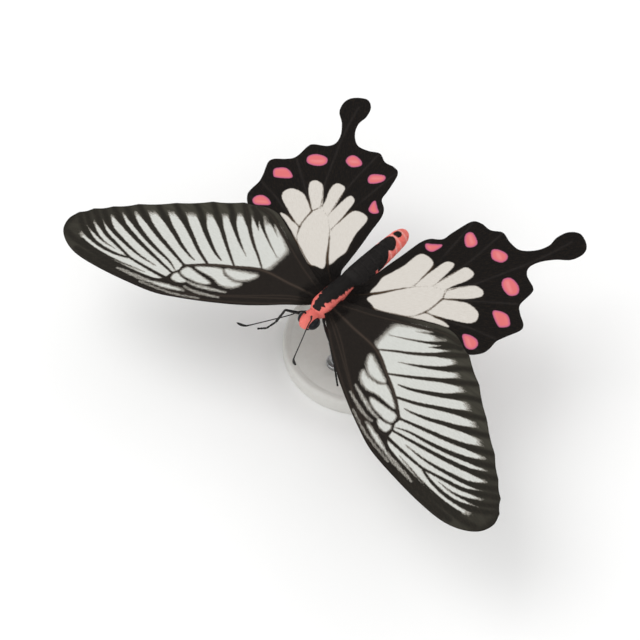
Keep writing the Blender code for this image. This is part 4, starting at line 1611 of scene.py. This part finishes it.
@dataclass
class BodySkin:
    """One skin over head, thorax and abdomen, and the coats of hair and scales on it."""

    # station, half width, height above and depth below the axis
    rows: Path = (
        (-15.9, 0.03, 0.03, 0.04), (-15.8, 0.42, 0.42, 0.48), (-15.5, 0.84, 0.84, 0.9),
        (-14.95, 1.2, 1.18, 1.26), (-14.2, 1.44, 1.42, 1.48), (-13.2, 1.5, 1.48, 1.44),
        (-12.4, 1.34, 1.36, 1.22), (-11.98, 1.3, 1.34, 1.18), (-11.5, 1.52, 1.58, 1.44),
        (-11, 1.8, 1.9, 1.76), (-10, 2.1, 2.3, 2.15), (-8, 2.32, 2.6, 2.5),
        (-6, 2.36, 2.58, 2.55), (-4, 2.3, 2.46, 2.38), (-2.6, 2.22, 2.34, 2.2),
        (-2.05, 2.17, 2.28, 2.1), (-1.5, 2.22, 2.34, 2.12), (0, 2.34, 2.5, 2.25),
        (4, 2.3, 2.48, 2.22), (8, 2.15, 2.34, 2.06), (12, 1.92, 2.1, 1.8),
        (14, 1.7, 1.88, 1.56), (15.1, 1.32, 1.48, 1.24), (15.7, 0.86, 0.98, 0.78),
        (15.95, 0.36, 0.42, 0.34), (16, 0.03, 0.04, 0.03),
    )
    joints: tuple[float, ...] = (0.0, 2.2, 4.4, 6.6, 8.85, 10.6, 12.1, 14.1)
    overlap: float = 0.035
    step_share: float = 0.25
    around: int = 150
    along: int = 320
    # how far down from the top the black comes at each station, in degrees
    black_reach: tuple[Pair, ...] = (
        (-11.95, -8), (-11.75, 30), (-11.5, 41), (-11.1, 30), (-10.85, 28), (-10.4, 41),
        (-10.1, 25), (-9.6, 30), (-9.1, 38), (-8.75, 48), (-8.55, 32), (-8, 42), (-7.6, 46),
        (-7.15, 54), (-6.85, 44), (-6.25, 49), (-5.6, 53), (-5.15, 56), (-4.9, 49),
        (-4.2, 53), (-3.4, 55), (-2.5, 60), (-1.95, 90), (0, 108), (3.7, 106), (3.95, 80),
        (4.35, 76), (4.6, 104), (6.3, 100), (7.3, 89), (8.05, 69), (8.75, 42), (9, 40),
        (9.35, 50), (9.7, 58), (10.5, 57), (11.2, 44), (11.7, 28), (12.02, 8), (12.1, -8),
        (12.45, -8), (12.6, 22), (13.2, 29), (13.7, 24), (14, 12), (14.12, -8), (16, -8),
    )
    black_feather: float = 9.0
    teeth: tuple[Triple, ...] = ((3.0, 7.3, 1.3), (2.0, 17.0, 1.0))
    toothed: tuple[Rise, Rise] = (Rise(7, -1), Rise(-11.4, 0.3))
    right_extra: float = 11.0
    right_zone: tuple[Rise, Rise] = (Rise(-8.6, 0.8), Rise(-2, -0.5))
    # black underneath: where it starts round the body, ahead and behind
    belly: tuple[Rise, Rise, Rise] = (Rise(152, 12), Rise(-11.5, 1), Rise(9.5, -1.5))
    hips: tuple[Rise, Rise, Rise] = (Rise(118, 10), Rise(-11, 1), Rise(-2.6, -0.8))
    # pale rims behind the joints, and one thin line across the black
    rim_shift: float = 0.1
    rim_reach: float = 0.22
    rim_zone: Rise = Rise(8.2, 0.5)
    thin_line: Triple = (4.42, 0.07, 0.8)
    thin_sides: tuple[Rise, Rise] = (Rise(24, 12), Rise(88, -20))
    thin_redness: float = 0.62
    # ends, eyes and the coats' map
    last_joint: float = 16.4
    tail_zone: Rise = Rise(15.6, -0.8)
    face_y: float = -14.5
    eye_clearance: Rise = Rise(1.03, 0.05)
    map_margin: float = 0.02
    map_start: float = -16.0
    map_length: float = 32.1
    crowding: float = 0.055
    # swellings of the face, the shoulders and the tip: centre, reach and height
    bulges: tuple[tuple[Triple, float, float], ...] = (
        ((0.5, -15.4, -0.7), 0.62, 0.24),
        ((-0.5, -15.4, -0.7), 0.62, 0.24),
        ((2.00, -9.8, 1.15), 1.1, 0.2),
        ((-2.00, -9.8, 1.15), 1.1, 0.2),
        ((0.0, 15.9, -0.35), 0.45, -0.16),
    )

    def profile(self, y: Array) -> Array:
        """Half width, height and depth of the skin at some stations."""
        dense = spline(self.rows, 0.05)
        size = np.column_stack([np.interp(y, dense[:, 0], dense[:, k]) for k in (1, 2, 3)])
        step = np.zeros(len(y))
        joints = np.array(self.joints)
        for start, end in zip(joints, np.append(joints[1:], self.last_joint)):
            share = (y - start) / (end - start)
            within = (share >= 0) & (share < 1)
            rise = smoothstep(share / self.step_share) * 1.3 - 1 + 0.5 * share
            step = np.where(within, rise, step)
        step *= self.overlap * self.tail_zone(y)
        return np.maximum(size + step[:, None], 0.02)

    def surface(self) -> tuple[Array, Array, Array]:
        """The skin, closed at both ends.

        Returns:
            Points, triangles, and a row of station, angle from the top and turn for each point.
        """
        y = self.rows[0][0] + (self.rows[-1][0] - self.rows[0][0]) * self.stations()
        size = self.profile(y)
        angle = FULL_TURN * np.arange(self.around) / self.around
        cosine, sine = np.cos(angle), np.sin(angle)
        upright = np.where(sine[None, :] > 0, size[:, 1:2], size[:, 2:3])
        middle = np.repeat(y[:, None], self.around, 1)
        rings = np.stack([size[:, 0:1] * cosine, middle, upright * sine], axis=-1)
        for centre, reach, height in self.bulges:
            near = bell(np.linalg.norm(rings - np.array(centre), axis=2), reach)
            out = rings * np.array((1.0, 0.0, 1.0))
            out[..., 1] = np.where(rings[..., 1] < self.face_y, -1.0, 0.0)
            out /= np.linalg.norm(out, axis=2)[..., None] + 1e-9
            rings = rings + out * (near * height)[..., None]
        points, faces = ringed(rings, np.array([rings[0].mean(0), rings[-1].mean(0)]))
        marks = np.column_stack([
            np.repeat(y, self.around),
            np.degrees(np.abs(np.arctan2(np.tile(cosine, len(y)), np.tile(sine, len(y))))),
            np.tile(angle, len(y)),
        ])
        return points, faces, np.vstack([marks, marks[[0, -1]]])

    def stations(self) -> Array:
        """Shares of the length from head to tail, closer together at both ends."""
        t = np.linspace(0.0, 1.0, self.along)
        return t - self.crowding * np.sin(2 * FULL_TURN * t) / FULL_TURN

    def colouring(self, points: Array, marks: Array) -> Values:
        """Where the body is red, and where its red is pale.

        Args:
            points: Points of the skin.
            marks: The station and the angle from the top of each.

        Returns:
            The attributes that the body's materials read.
        """
        y, angle = marks[:, 0], marks[:, 1]
        limits = np.array(self.black_reach)
        side = np.sign(points[:, 0])
        teeth = sum(size * np.sin(waves * y + shift * side) for size, waves, shift in self.teeth)
        teeth *= self.toothed[0](y) * self.toothed[1](y)
        teeth += self.right_extra * (side < 0) * self.right_zone[0](y) * self.right_zone[1](y)
        red = (angle - np.interp(y, limits[:, 0], limits[:, 1]) - teeth) / self.black_feather
        under = [low(angle) * ahead(y) * behind(y) for low, ahead, behind in (self.belly, self.hips)]
        red = red - self.black_feather * np.maximum(*under)
        rims = np.zeros(len(y))
        for joint in self.joints:
            rims = np.maximum(rims, bell(y - joint - self.rim_shift, self.rim_reach))
        pale = rims * self.rim_zone(y)
        station, reach, most = self.thin_line
        thin = most * bell(y - station, reach) * self.thin_sides[0](angle)
        thin *= self.thin_sides[1](angle)
        return {
            "redness": np.clip(0.5 + 0.5 * red, 0.0, 1.0) * (1.0 - thin) + self.thin_redness * thin,
            "paleness": np.clip(pale + thin, 0.0, 1.0),
        }

    def build(self, finish: BodyFinish) -> Object:
        """Makes the skin.

        Args:
            finish: The skin's finish.

        Returns:
            The finished skin.
        """
        points, faces, marks = self.surface()
        piece = make_mesh("body_skin", points, faces, self.colouring(points, marks), finish.material())
        return deliver(piece, Slot.BLACK_HAIR, "head", "thorax", "abdomen")

    def bed(self, name: str, span: Pair, side: Pair, lean: float, length: float = 1.0) -> Object:
        """A stretch of the skin for a coat to grow on.

        Args:
            name: The bed's name.
            span: The stations of its ends.
            side: The least and the most angle from the top.
            lean: How far the hair leans backwards, as a tangent.
            length: The hair's length as a share of the tuft's own.

        Returns:
            The bed, with the attributes that a planting reads.
        """
        points, faces, marks = self.surface()
        values = self.colouring(points, marks)
        y, angle = marks[:, 0], marks[:, 1]
        station, turned = y[faces].mean(1), angle[faces].mean(1)
        keep = (station > span[0]) & (station < span[1]) & (turned >= side[0]) & (turned <= side[1])
        normal = self.normals(points, faces)
        way = normal + np.array((0.0, lean, 0.0))
        values["way"] = way / np.linalg.norm(way, axis=1)[:, None]
        values["length"] = np.full(len(points), length)
        cover = np.ones(len(points))
        for eye in map(Eye, Side):
            cover *= self.eye_clearance(eye.distance(points))
        values["cover"] = cover
        margin, share = self.map_margin, 1 - 2 * self.map_margin
        values["root_place"] = np.column_stack([
            margin + share * (y - self.map_start) / self.map_length,
            margin + share * marks[:, 2] / FULL_TURN,
            np.zeros(len(y)),
        ])
        return make_mesh(name, points, faces[keep], values)

    def normals(self, points: Array, faces: Array) -> Array:
        """Outward directions at the skin's points."""
        a, b, c = (points[faces[:, k]] for k in range(3))
        across = np.cross(b - a, c - a)
        normal = np.zeros_like(points)
        for k in range(3):
            np.add.at(normal, faces[:, k], across)
        return normal / (np.linalg.norm(normal, axis=1)[:, None] + 1e-12)


@dataclass(frozen=True)
class EyeFinish:
    """Glossy blue-black with a grid of fine facets."""

    dark: Colour = pigment("07080b")
    light: Colour = pigment("11131a")
    roughness: float = 0.2
    specular: float = 0.2
    facet: float = 0.00007

    def material(self) -> Material:
        """Builds the material.

        Returns:
            A glossy material with facets in its relief.
        """
        web = Web("eye", self.roughness, self.specular)
        place = web.place()
        facets = web.add("TexVoronoi", {"Vector": place, "Scale": 1.0 / self.facet, "Randomness": 0.25})
        broad = web.noise(place, 1400.0, 2.0)
        web.colour(web.mix(broad, self.dark, self.light))
        domes = web.math("SUBTRACT", 1.0, facets.outputs["Distance"])
        web.bump(domes, 0.35, 0.00001)
        return web.material


@dataclass
class Eye:
    """One faceted eye that bulges out of the head's side."""

    side: Side
    centre: Triple = (1.28, -13.66, -0.42)
    outer: float = 1.08
    inner: float = 0.5
    half_length: float = 1.54
    half_height: float = 1.16
    rings: int = 56
    sides: int = 96

    def middle(self) -> Array:
        """The eye's centre on its own side."""
        return np.array(self.centre) * self.side.flip

    def distance(self, points: Array) -> Array:
        """How far points are from the centre, where 1 is the eye's surface."""
        offset = (points - self.middle()) * self.side.flip
        return np.linalg.norm(offset / self.radii(offset), axis=1)

    def radii(self, offset: Array) -> Array:
        """The eye's half sizes where points lie."""
        reach = np.where(offset[:, 0] > 0, self.outer, self.inner)
        return np.column_stack([reach, np.full((len(offset), 2), (self.half_length, self.half_height))])

    def build(self, material: Material) -> Object:
        """Makes the eye.

        Args:
            material: The eye's material.

        Returns:
            The finished eye.
        """
        polar = np.linspace(0.0, math.pi, self.rings + 1)[1:-1, None]
        turn = FULL_TURN * np.arange(self.sides) / self.sides
        flat = np.sin(polar)
        unit = np.stack([np.cos(polar) + 0.0 * turn, flat * np.cos(turn), flat * np.sin(turn)], axis=-1)
        points, faces = ringed(unit, np.array([(1.0, 0.0, 0.0), (-1.0, 0.0, 0.0)]))
        points = points * self.radii(points) + np.array(self.centre)
        shape = mirrored(points, faces[:, ::-1], self.side)
        piece = make_mesh(f"eye_ball_{self.side.suffix}", *shape, None, material)
        return deliver(piece, Slot.EYE, f"eye_{self.side.suffix}")


@dataclass(frozen=True)
class ShellFinish:
    """Two close shades in a fine grain: shell, plastic, steel or floor."""

    name: str
    light: Colour
    dark: Colour
    roughness: float
    specular: float = 0.4
    metallic: float = 0.0
    grain: Triple = (900.0, 900.0, 900.0)
    relief: float = 0.00001

    def material(self) -> Material:
        """Builds the material.

        Returns:
            A material with a faint grain.
        """
        web = Web(self.name, self.roughness, self.specular)
        web.shader.inputs["Metallic"].default_value = self.metallic
        grain = web.noise(web.scaled(web.place(), self.grain), 1.0, 3.0)
        web.colour(web.mix(grain, self.dark, self.light))
        web.bump(grain, 0.3, self.relief)
        return web.material


@dataclass
class Limb:
    """A jointed tube whose girth follows its path."""

    name: str
    path: Path
    girth: tuple[Pair, ...]
    node: str
    sides: int = 14
    step: float = 0.09
    ribs: Pair = (0.4, 0.0)
    soft_corners: bool = False

    def route(self) -> tuple[Array, Array]:
        """Close points along the path, and the girth at each.

        Returns:
            The points and their radii.
        """
        if self.soft_corners:
            points = spline(self.path, self.step)
        else:
            points = self.rounded()
        lengths = np.concatenate([[0.0], np.cumsum(np.linalg.norm(np.diff(points, axis=0), axis=1))])
        table = np.array(self.girth)
        return points, np.interp(lengths / lengths[-1], table[:, 0], table[:, 1])

    def rounded(self) -> Array:
        """The path's straight stretches, with small bends between them."""
        knots = np.array(self.path, float)
        points = [knots[:1]]
        for start, end in zip(knots, knots[1:]):
            steps = max(2, round(float(np.linalg.norm(end - start)) / self.step))
            points.append(start + (end - start) * (np.arange(1, steps + 1) / steps)[:, None])
        line = np.vstack(points)
        for _ in range(3):
            line[1:-1] = 0.25 * line[:-2] + 0.5 * line[1:-1] + 0.25 * line[2:]
        return line

    def build(self, side: Side, material: Material) -> Object:
        """Makes the limb of one side.

        Args:
            side: The animal's side.
            material: The limb's material.

        Returns:
            The finished limb.
        """
        points, radii = self.route()
        name = self.name.format(side=side.suffix)
        piece = make_tubes(name, [points * side.flip], radii, material, self.sides, self.ribs)
        return deliver(piece, Slot.LIMB, self.node.format(side=side.suffix))


@dataclass
class Leg:
    """A leg: hip, swollen femur, slim tibia, five foot joints and a pair of claws."""

    name: str
    path: Path
    # share and radius along hip, femur and tibia, with a waist at every joint
    stretch_girths: tuple[tuple[Pair, ...], ...] = (
        ((0, 0.304), (0.5, 0.38), (1, 0.2356)),
        ((0.08, 0.26), (0.35, 0.34), (0.75, 0.3), (0.95, 0.26), (1, 0.208)),
        ((0.06, 0.25), (0.5, 0.25), (0.92, 0.27), (1, 0.13)),
    )
    foot_joints: tuple[float, ...] = (0, 0.4, 0.6, 0.75, 0.87, 1)
    joint_girths: tuple[Pair, ...] = ((0.15, 0.187), (0.8, 0.22), (1, 0.1364))
    claw_start: float = 0.22
    # ahead of the claw's start, aside and down
    claw_bend: Triple = (0.16, 0.1, 0.0)
    claw_tip: Triple = (0.24, 0.15, 0.14)
    claw_radii: Pair = (0.055, 0.012)
    spine_spacing: float = 0.42
    # knot that a row starts from, distance from the axis and size of its spines
    spine_rows: tuple[tuple[int, float, float], ...] = ((2, 0.15, 1.0), (3, 0.1, 0.7), (4, 0.09, 0.6))
    spine_turns: tuple[float, ...] = (0.6, 2.5, 3.8, 5.6)
    spine_ends: Pair = (0.08, 0.96)
    spine_way: Pair = (0.75, 0.65)
    spine_sizes: Pair = (0.8, 1.2)
    spine_disorder: float = 0.12
    row_step: float = 0.3

    def shares(self) -> Array:
        """The share of the leg's length at each knot of its path."""
        lengths = np.linalg.norm(np.diff(np.array(self.path), axis=0), axis=1)
        return np.concatenate([[0.0], np.cumsum(lengths)]) / lengths.sum()

    def girths(self) -> tuple[Pair, ...]:
        """The girth along the leg, with a waist at every joint.

        Returns:
            Shares of the length and radii.
        """
        shares = self.shares()
        ankle, foot = shares[3], shares[-1] - shares[3]
        joints = [ankle + share * foot for share in self.foot_joints]
        stretches = [*zip(shares, shares[1:], self.stretch_girths)]
        stretches += [(start, end, self.joint_girths) for start, end in zip(joints, joints[1:])]
        return tuple(
            (start + share * (end - start), girth)
            for start, end, rows in stretches for share, girth in rows
        )

    def build(self, side: Side, spine: Object, material: Material) -> None:
        """Makes the leg of one side, with its spines and claws.

        Args:
            side: The animal's side.
            spine: A single blade.
            material: The leg's material.
        """
        shell = Limb(self.name + "_shell_{side}", self.path, self.girths(), self.name + "_{side}", step=0.08)
        shell.build(side, material)
        self.add_claws(side, material)
        self.add_spines(side, spine, material)

    def axes(self, start: Array, end: Array) -> tuple[Array, Array]:
        """Directions along a stretch of the leg and level across it."""
        along = (end - start) / np.linalg.norm(end - start)
        across = np.cross(along, (0.0, 0.0, 1.0))
        return along, across / np.linalg.norm(across)

    def add_claws(self, side: Side, material: Material) -> None:
        """Adds the two curved claws at the foot's end.

        Args:
            side: The animal's side.
            material: The leg's material.
        """
        before, tip = np.array(self.path[-2]), np.array(self.path[-1])
        along, across = self.axes(before, tip)
        start = tip - along * self.claw_start
        paths = []
        for way in (1, -1):
            bend, end = (
                start + ahead * along + aside * way * across - np.array((0.0, 0.0, down))
                for ahead, aside, down in (self.claw_bend, self.claw_tip)
            )
            paths.append(spline(np.array((start, bend, end)), 0.03) * side.flip)
        radii = np.concatenate([np.linspace(*self.claw_radii, len(path)) for path in paths])
        deliver(make_tubes(f"{self.name}_claws_{side.suffix}", paths, radii, material), Slot.LIMB)

    def add_spines(self, side: Side, spine: Object, material: Material) -> None:
        """Adds rows of spines down the tibia and the foot.

        Args:
            side: The animal's side.
            spine: A single blade.
            material: The leg's material.
        """
        knots = np.array(self.path)
        paths, ways, sizes = [], [], []
        outwards, onwards = self.spine_way
        for first, reach, size in self.spine_rows:
            start, end = knots[first], knots[first + 1]
            along, across = self.axes(start, end)
            under = np.cross(along, across)
            steps = max(3, round(float(np.linalg.norm(end - start)) / self.row_step))
            share = np.linspace(*self.spine_ends, steps)[:, None]
            for turn in self.spine_turns:
                out = across * math.cos(turn) + under * math.sin(turn)
                paths.append((start + (end - start) * share + out * reach) * side.flip)
                ways.append(np.repeat(((outwards * out + onwards * along) * side.flip)[None, :], steps, 0))
                sizes.append(np.full(steps, size))
        values = {"way": np.vstack(ways), "length": np.concatenate(sizes)}
        bed = strands(f"{self.name}_spine_rows", paths, values)
        piece = plant(
            Scatter.PATH, bed, f"{self.name}_spines_{side.suffix}", spine, material,
            self.spine_spacing, self.spine_sizes, self.spine_disorder,
        )
        deliver(piece, Slot.LIMB)


LEGS = (
    Leg("leg_front", (
        (0.8, -10.2, -2.1), (1.35, -10.75, -3.15), (5.9, -14.2, -1.6), (7.86, -15.08, -6.4),
        (9.4, -16.2, -8.6), (10.85, -17.42, -8.85),
    )),
    Leg("leg_mid", (
        (1.05, -7.6, -2.2), (1.75, -7.9, -3.5), (7.1, -7.1, -2.9), (8.6, -5.6, -8.1),
        (10.4, -4.7, -9.3), (12.4, -3.8, -9.4),
    )),
    Leg("leg_hind", (
        (1.05, -3.7, -1.95), (1.7, -3.4, -3.25), (4.4, -0.8, -6.2), (4.6, 4.6, -8.8),
        (4.9, 7.2, -9.8), (5.4, 9.8, -10),
    )),
)
ANTENNA = Limb(
    name="antenna_shaft_{side}",
    path=(
        (0.7, -13.75, 1.25), (1.02, -14, 1.88), (1.62, -14.85, 2.07), (2.25, -16.6, 2.2),
        (3.75, -19.8, 2.62), (5.05, -22.6, 3.08), (5.85, -24.3, 3.36), (6.3, -25.05, 3.52),
        (6.95, -25.6, 3.8), (7.8, -26, 4.15),
    ),
    girth=(
        (0, 0.19), (0.045, 0.2), (0.06, 0.14), (0.085, 0.16), (0.11, 0.12), (0.45, 0.105), (0.76, 0.115),
        (0.84, 0.15), (0.9, 0.25), (0.945, 0.28), (0.98, 0.2), (1, 0.03),
    ),
    node="antenna_{side}",
    step=0.05,
    ribs=(0.3, 0.035),
    soft_corners=True,
)


def coiled_tube() -> Limb:
    """The drinking tube, coiled like a watch spring under the head.

    Returns:
        The tube, down from its root and once round.
    """
    outer, inner, turns, root = 0.72, 0.2, 1.1, 0.95
    centre_y, centre_z = -13.6, -2.6
    t = np.linspace(0.0, 1.0, 60)
    angle = math.pi - FULL_TURN * turns * t
    radius = outer + (inner - outer) * t
    coil = np.column_stack([0.0 * t, centre_y + radius * np.cos(angle), centre_z - radius * np.sin(angle)])
    path = np.vstack([coil[:1] + np.array((0.0, 0.0, root)), coil])
    return Limb(
        "proboscis_coil", tuple(map(tuple, path)), ((0, 0.19), (1, 0.09)), "proboscis", step=0.03,
        ribs=(0.11, 0.08), soft_corners=True,
    )


@dataclass
class Stand:
    """A round base and a short rod up to the thorax."""

    base_radius: float = 17.0
    base_thickness: float = 4.0
    base_edge: float = 0.8
    base_y: float = 3.0
    rod_radius: float = 1.0
    rod_y: float = -5.6
    collar_radius: float = 2.1
    collar_height: float = 1.0
    rod_top: float = -2.35
    base_sides: int = 192
    rod_sides: int = 64
    bevel_steps: int = 8
    groove: tuple[Pair, ...] = ((1.6, 0.0), (1.9, 0.12), (2.2, 0.12), (2.5, 0.0))

    def turned(self, name: str, profile: list[Pair], y: float, sides: int, finish: ShellFinish) -> Object:
        """A turned piece, closed on its axis at both ends.

        Args:
            name: The piece's name.
            profile: Radius and height over the floor, from the underside up.
            y: Where the axis stands, in the body's frame.
            sides: How many sides it has.
            finish: Its finish.

        Returns:
            The piece.
        """
        turn = FULL_TURN * np.arange(sides) / sides
        circle = np.column_stack([np.cos(turn), np.sin(turn), np.zeros(sides)])
        centres = [np.array((0.0, y, height - BODY.height)) for _, height in profile]
        rings = np.array([radius * circle + centre for (radius, _), centre in zip(profile, centres)])
        return make_mesh(name, *ringed(rings, np.array([centres[0], centres[-1]])), None, finish.material())

    def base_profile(self) -> list[Pair]:
        """The base's underside, rounded rim and slightly crowned top."""
        radius, edge, top = self.base_radius, self.base_edge, self.base_thickness
        profile = []
        for first, round_off, height in ((-0.5, 0.6 * edge, 0.6 * edge), (0.0, edge, top - edge)):
            for k in range(self.bevel_steps + 1):
                angle = math.pi * (first + 0.5 * k / self.bevel_steps)
                reach = radius - round_off * (1.0 - math.cos(angle))
                profile.append((reach, height + round_off * math.sin(angle)))
        profile.extend((radius - back * edge, top - deep) for back, deep in self.groove)
        return [*profile, (0.5 * radius, top)]

    def build(self) -> None:
        """Makes and dresses the base and the rod."""
        base = self.turned("stand_plinth", self.base_profile(), self.base_y, self.base_sides, PLASTIC_FINISH)
        deliver(base, Slot.STAND_WHITE, "stand_base")
        foot = self.base_thickness
        shoulder = foot + self.collar_height
        top = BODY.height + self.rod_top
        radius, collar = self.rod_radius, self.collar_radius
        profile = [
            (collar - 0.1, foot), (collar, foot + 0.1), (collar, shoulder - 0.25),
            (collar - 0.08, shoulder - 0.08), (collar - 0.25, shoulder), (radius + 0.15, shoulder),
            (radius, shoulder + 0.15), (radius, top - 0.12), (radius - 0.12, top),
        ]
        rod = self.turned("stand_pin", profile, self.rod_y, self.rod_sides, STEEL_FINISH)
        deliver(rod, Slot.STAND_STEEL, "stand_rod")


@dataclass
class Studio:
    """The floor, the soft lights and the camera at the photo's angle."""

    floor_half: float = 1500.0
    azimuth: float = math.radians(42.481)
    elevation: float = math.radians(52.328)
    roll: float = math.radians(-0.944)
    aim: Triple = (2.351, -15.76, 28.0)
    distance: float = 390.589
    lens: float = 111.565
    sensor: float = 36.0
    clip: Pair = (0.01, 20.0)
    sky: Colour = (1.0, 1.0, 1.0, 1.0)
    sky_strength: float = 0.78
    lights: tuple[tuple[str, Triple, float, float], ...] = (
        ("key", (-220.0, -160.0, 520.0), 420.0, 1.15),
        ("fill", (360.0, -260.0, 380.0), 380.0, 0.45),
        ("back", (60.0, 460.0, 360.0), 380.0, 0.35),
    )

    def build(self) -> None:
        """Makes the floor, world, lights and camera."""
        scene = bpy.context.scene
        scene.view_settings.view_transform = "Standard"
        mesh = bpy.data.meshes.new("floor")
        half = self.floor_half * MM
        corners = [(-half, -half, 0.0), (half, -half, 0.0), (half, half, 0.0), (-half, half, 0.0)]
        mesh.from_pydata(corners, [], [(0, 1, 2, 3)])
        floor = linked("floor", mesh)
        mesh.materials.append(FLOOR_FINISH.material())
        self.make_world(scene)
        for name, place, size, power in self.lights:
            self.make_light(name, place, size, power)
        self.make_camera(scene)

    def make_world(self, scene: Scene) -> None:
        """Gives the scene an even pale sky."""
        world = bpy.data.worlds.new("sky")
        world.use_nodes = True
        background = world.node_tree.nodes["Background"]
        background.inputs["Color"].default_value = self.sky
        background.inputs["Strength"].default_value = self.sky_strength
        scene.world = world

    def make_light(self, name: str, place: Triple, size: float, power: float) -> None:
        """Makes a square area light that looks at the butterfly.

        Args:
            name: The light's name.
            place: Where it is, in millimetres.
            size: The length of its side, in millimetres.
            power: Its power in watts.
        """
        lamp = bpy.data.lights.new(name, "AREA")
        lamp.size = size * MM
        lamp.energy = power
        thing = bpy.data.objects.new(name, lamp)
        where = Vector(place) * MM
        thing.location = where
        target = Vector((0.0, 0.0, BODY.height)) * MM
        thing.rotation_euler = (target - where).to_track_quat("-Z", "Y").to_euler()
        bpy.context.scene.collection.objects.link(thing)

    def make_camera(self, scene: Scene) -> None:
        """Makes the camera that shows the photo's view."""
        data = bpy.data.cameras.new("photo_view")
        data.sensor_width = self.sensor
        data.lens = self.lens
        data.clip_start, data.clip_end = self.clip
        camera = bpy.data.objects.new("photo_view", data)
        az, el, roll = self.azimuth, self.elevation, self.roll
        back = Vector((math.sin(az) * math.cos(el), -math.cos(az) * math.cos(el), math.sin(el)))
        level = Vector((math.cos(az), math.sin(az), 0.0))
        upright = back.cross(level)
        right = level * math.cos(roll) + upright * math.sin(roll)
        up = upright * math.cos(roll) - level * math.sin(roll)
        camera.location = (Vector(self.aim) + back * self.distance) * MM
        camera.rotation_euler = Matrix((right, up, back)).transposed().to_euler()
        scene.collection.objects.link(camera)
        scene.camera = camera


FORE_FINISH = WingFinish(
    name="forewing_scales",
    white=pigment("dadbd6"),
    white_shade=pigment("c9cac4"),
    base_dark=pigment("1d1916"),
    border_dark=pigment("24221d"),
    border_light=pigment("4c4a41"),
    brown=pigment("4a3f37"),
)
HIND_FINISH = WingFinish(
    name="hindwing_scales",
    white=pigment("dfdad3"),
    white_shade=pigment("d1cbc2"),
    mottling=0.12,
    base_dark=pigment("0e0c0b"),
    border_dark=pigment("121010"),
    border_light=pigment("353130"),
    brown=pigment("6a543e"),
)
LIMB_FINISH = ShellFinish(
    "limb", pigment("191614"), pigment("0c0b0a"), 0.45, 0.25, grain=(26000.0,) * 3, relief=0.00002,
)
PLASTIC_FINISH = ShellFinish("stand_white", pigment("e9e8e4"), pigment("dedcd6"), 0.36)
STEEL_FINISH = ShellFinish(
    "stand_steel", pigment("c9cacb"), pigment("a9abad"), 0.3, metallic=1.0, grain=(9000.0, 9000.0, 250.0),
    relief=0.000006,
)
FLOOR_FINISH = ShellFinish(
    "floor", (0.92, 0.92, 0.915, 1.0), (0.906, 0.906, 0.901, 1.0), 0.8, 0.1, grain=(14.0,) * 3,
)


def main() -> None:
    """Builds every piece in order and reports each."""
    logging.basicConfig(level=logging.INFO, format="%(name)s: %(message)s")
    Studio().build()
    hair = BodyFinish("body_hair", tufted=True).material()
    build_wings(hair)
    build_body(hair)
    build_limbs()
    Stand().build()


def build_wings(hair: Material) -> None:
    """Builds the four wings with their veins, fringes and root hair.

    Args:
        hair: The hair's material.
    """
    long = Tuft(blades=4, length=0.9, radius=0.022, spread=0.1).build("root_tuft")
    root_hair = Coat(long, hair, Slot.BLACK_HAIR, 0.25)
    fringe = Tuft(blades=3, length=0.13, radius=0.026, spread=0.02, splay=0.35, curl=0.0).build("fringe_tuft")
    fore = ForeWing(name="forewing", lift=0.2, root_y=(-10.9, -6.7), finish=FORE_FINISH)
    hind = HindWing(name="hindwing", lift=-0.22, root_y=(-6.0, -2.5), finish=HIND_FINISH)
    for wing in (fore, hind):
        material = wing.finish.material()
        for side in Side:
            wing.build(side, material)
            wing.add_veins(side, material)
            wing.add_fringe(side, fringe, material)
            wing.add_root_hair(side, root_hair)


def build_body(hair: Material) -> None:
    """Builds the skin, the coats of hair and scales, and the eyes.

    Args:
        hair: The hair's material.
    """
    skin = BodySkin()
    skin.build(BodyFinish("body_skin"))
    eye_material = EyeFinish().material()
    for side in Side:
        Eye(side).build(eye_material)
    scales = BodyFinish("body_scales", tufted=True, roughness=0.5).material()
    head = Coat(Tuft(length=0.46, radius=0.017).build("fine_hair"), hair, Slot.RED_HAIR, 0.092)
    thorax = Coat(Tuft(length=0.52, radius=0.02).build("short_hair"), hair, Slot.BLACK_HAIR, 0.16)
    abdomen = Coat(Leaf().build("body_scale"), scales, Slot.BLACK_SCALES, 0.085, disorder=0.06)
    head.grow("head_hair", skin.bed("head_bed", (-15.9, -12), (0, 180), 1.3, 0.85))
    for part, sides, lean in (("above", (0, 92), 1.7), ("below", (92, 180), 1.4)):
        thorax.grow(f"thorax_hair_{part}", skin.bed("thorax_bed", (-12.0, -1.9), sides, lean))
    for part, sides in (("above", (0, 90)), ("below", (90, 180))):
        abdomen.grow(f"abdomen_scales_{part}", skin.bed("abdomen_bed", (-1.9, 16.0), sides, 8.0))


def build_limbs() -> None:
    """Builds the legs, the antennae and the drinking tube."""
    material = LIMB_FINISH.material()
    spine = Tuft(blades=1, length=0.34, radius=0.035, spread=0.0, splay=0.0, curl=0.1).build("leg_spine")
    for side in Side:
        for leg in LEGS:
            leg.build(side, spine, material)
        ANTENNA.build(side, material)
    coiled_tube().build(Side.LEFT, material)


if __name__ == "__main__":
    main()
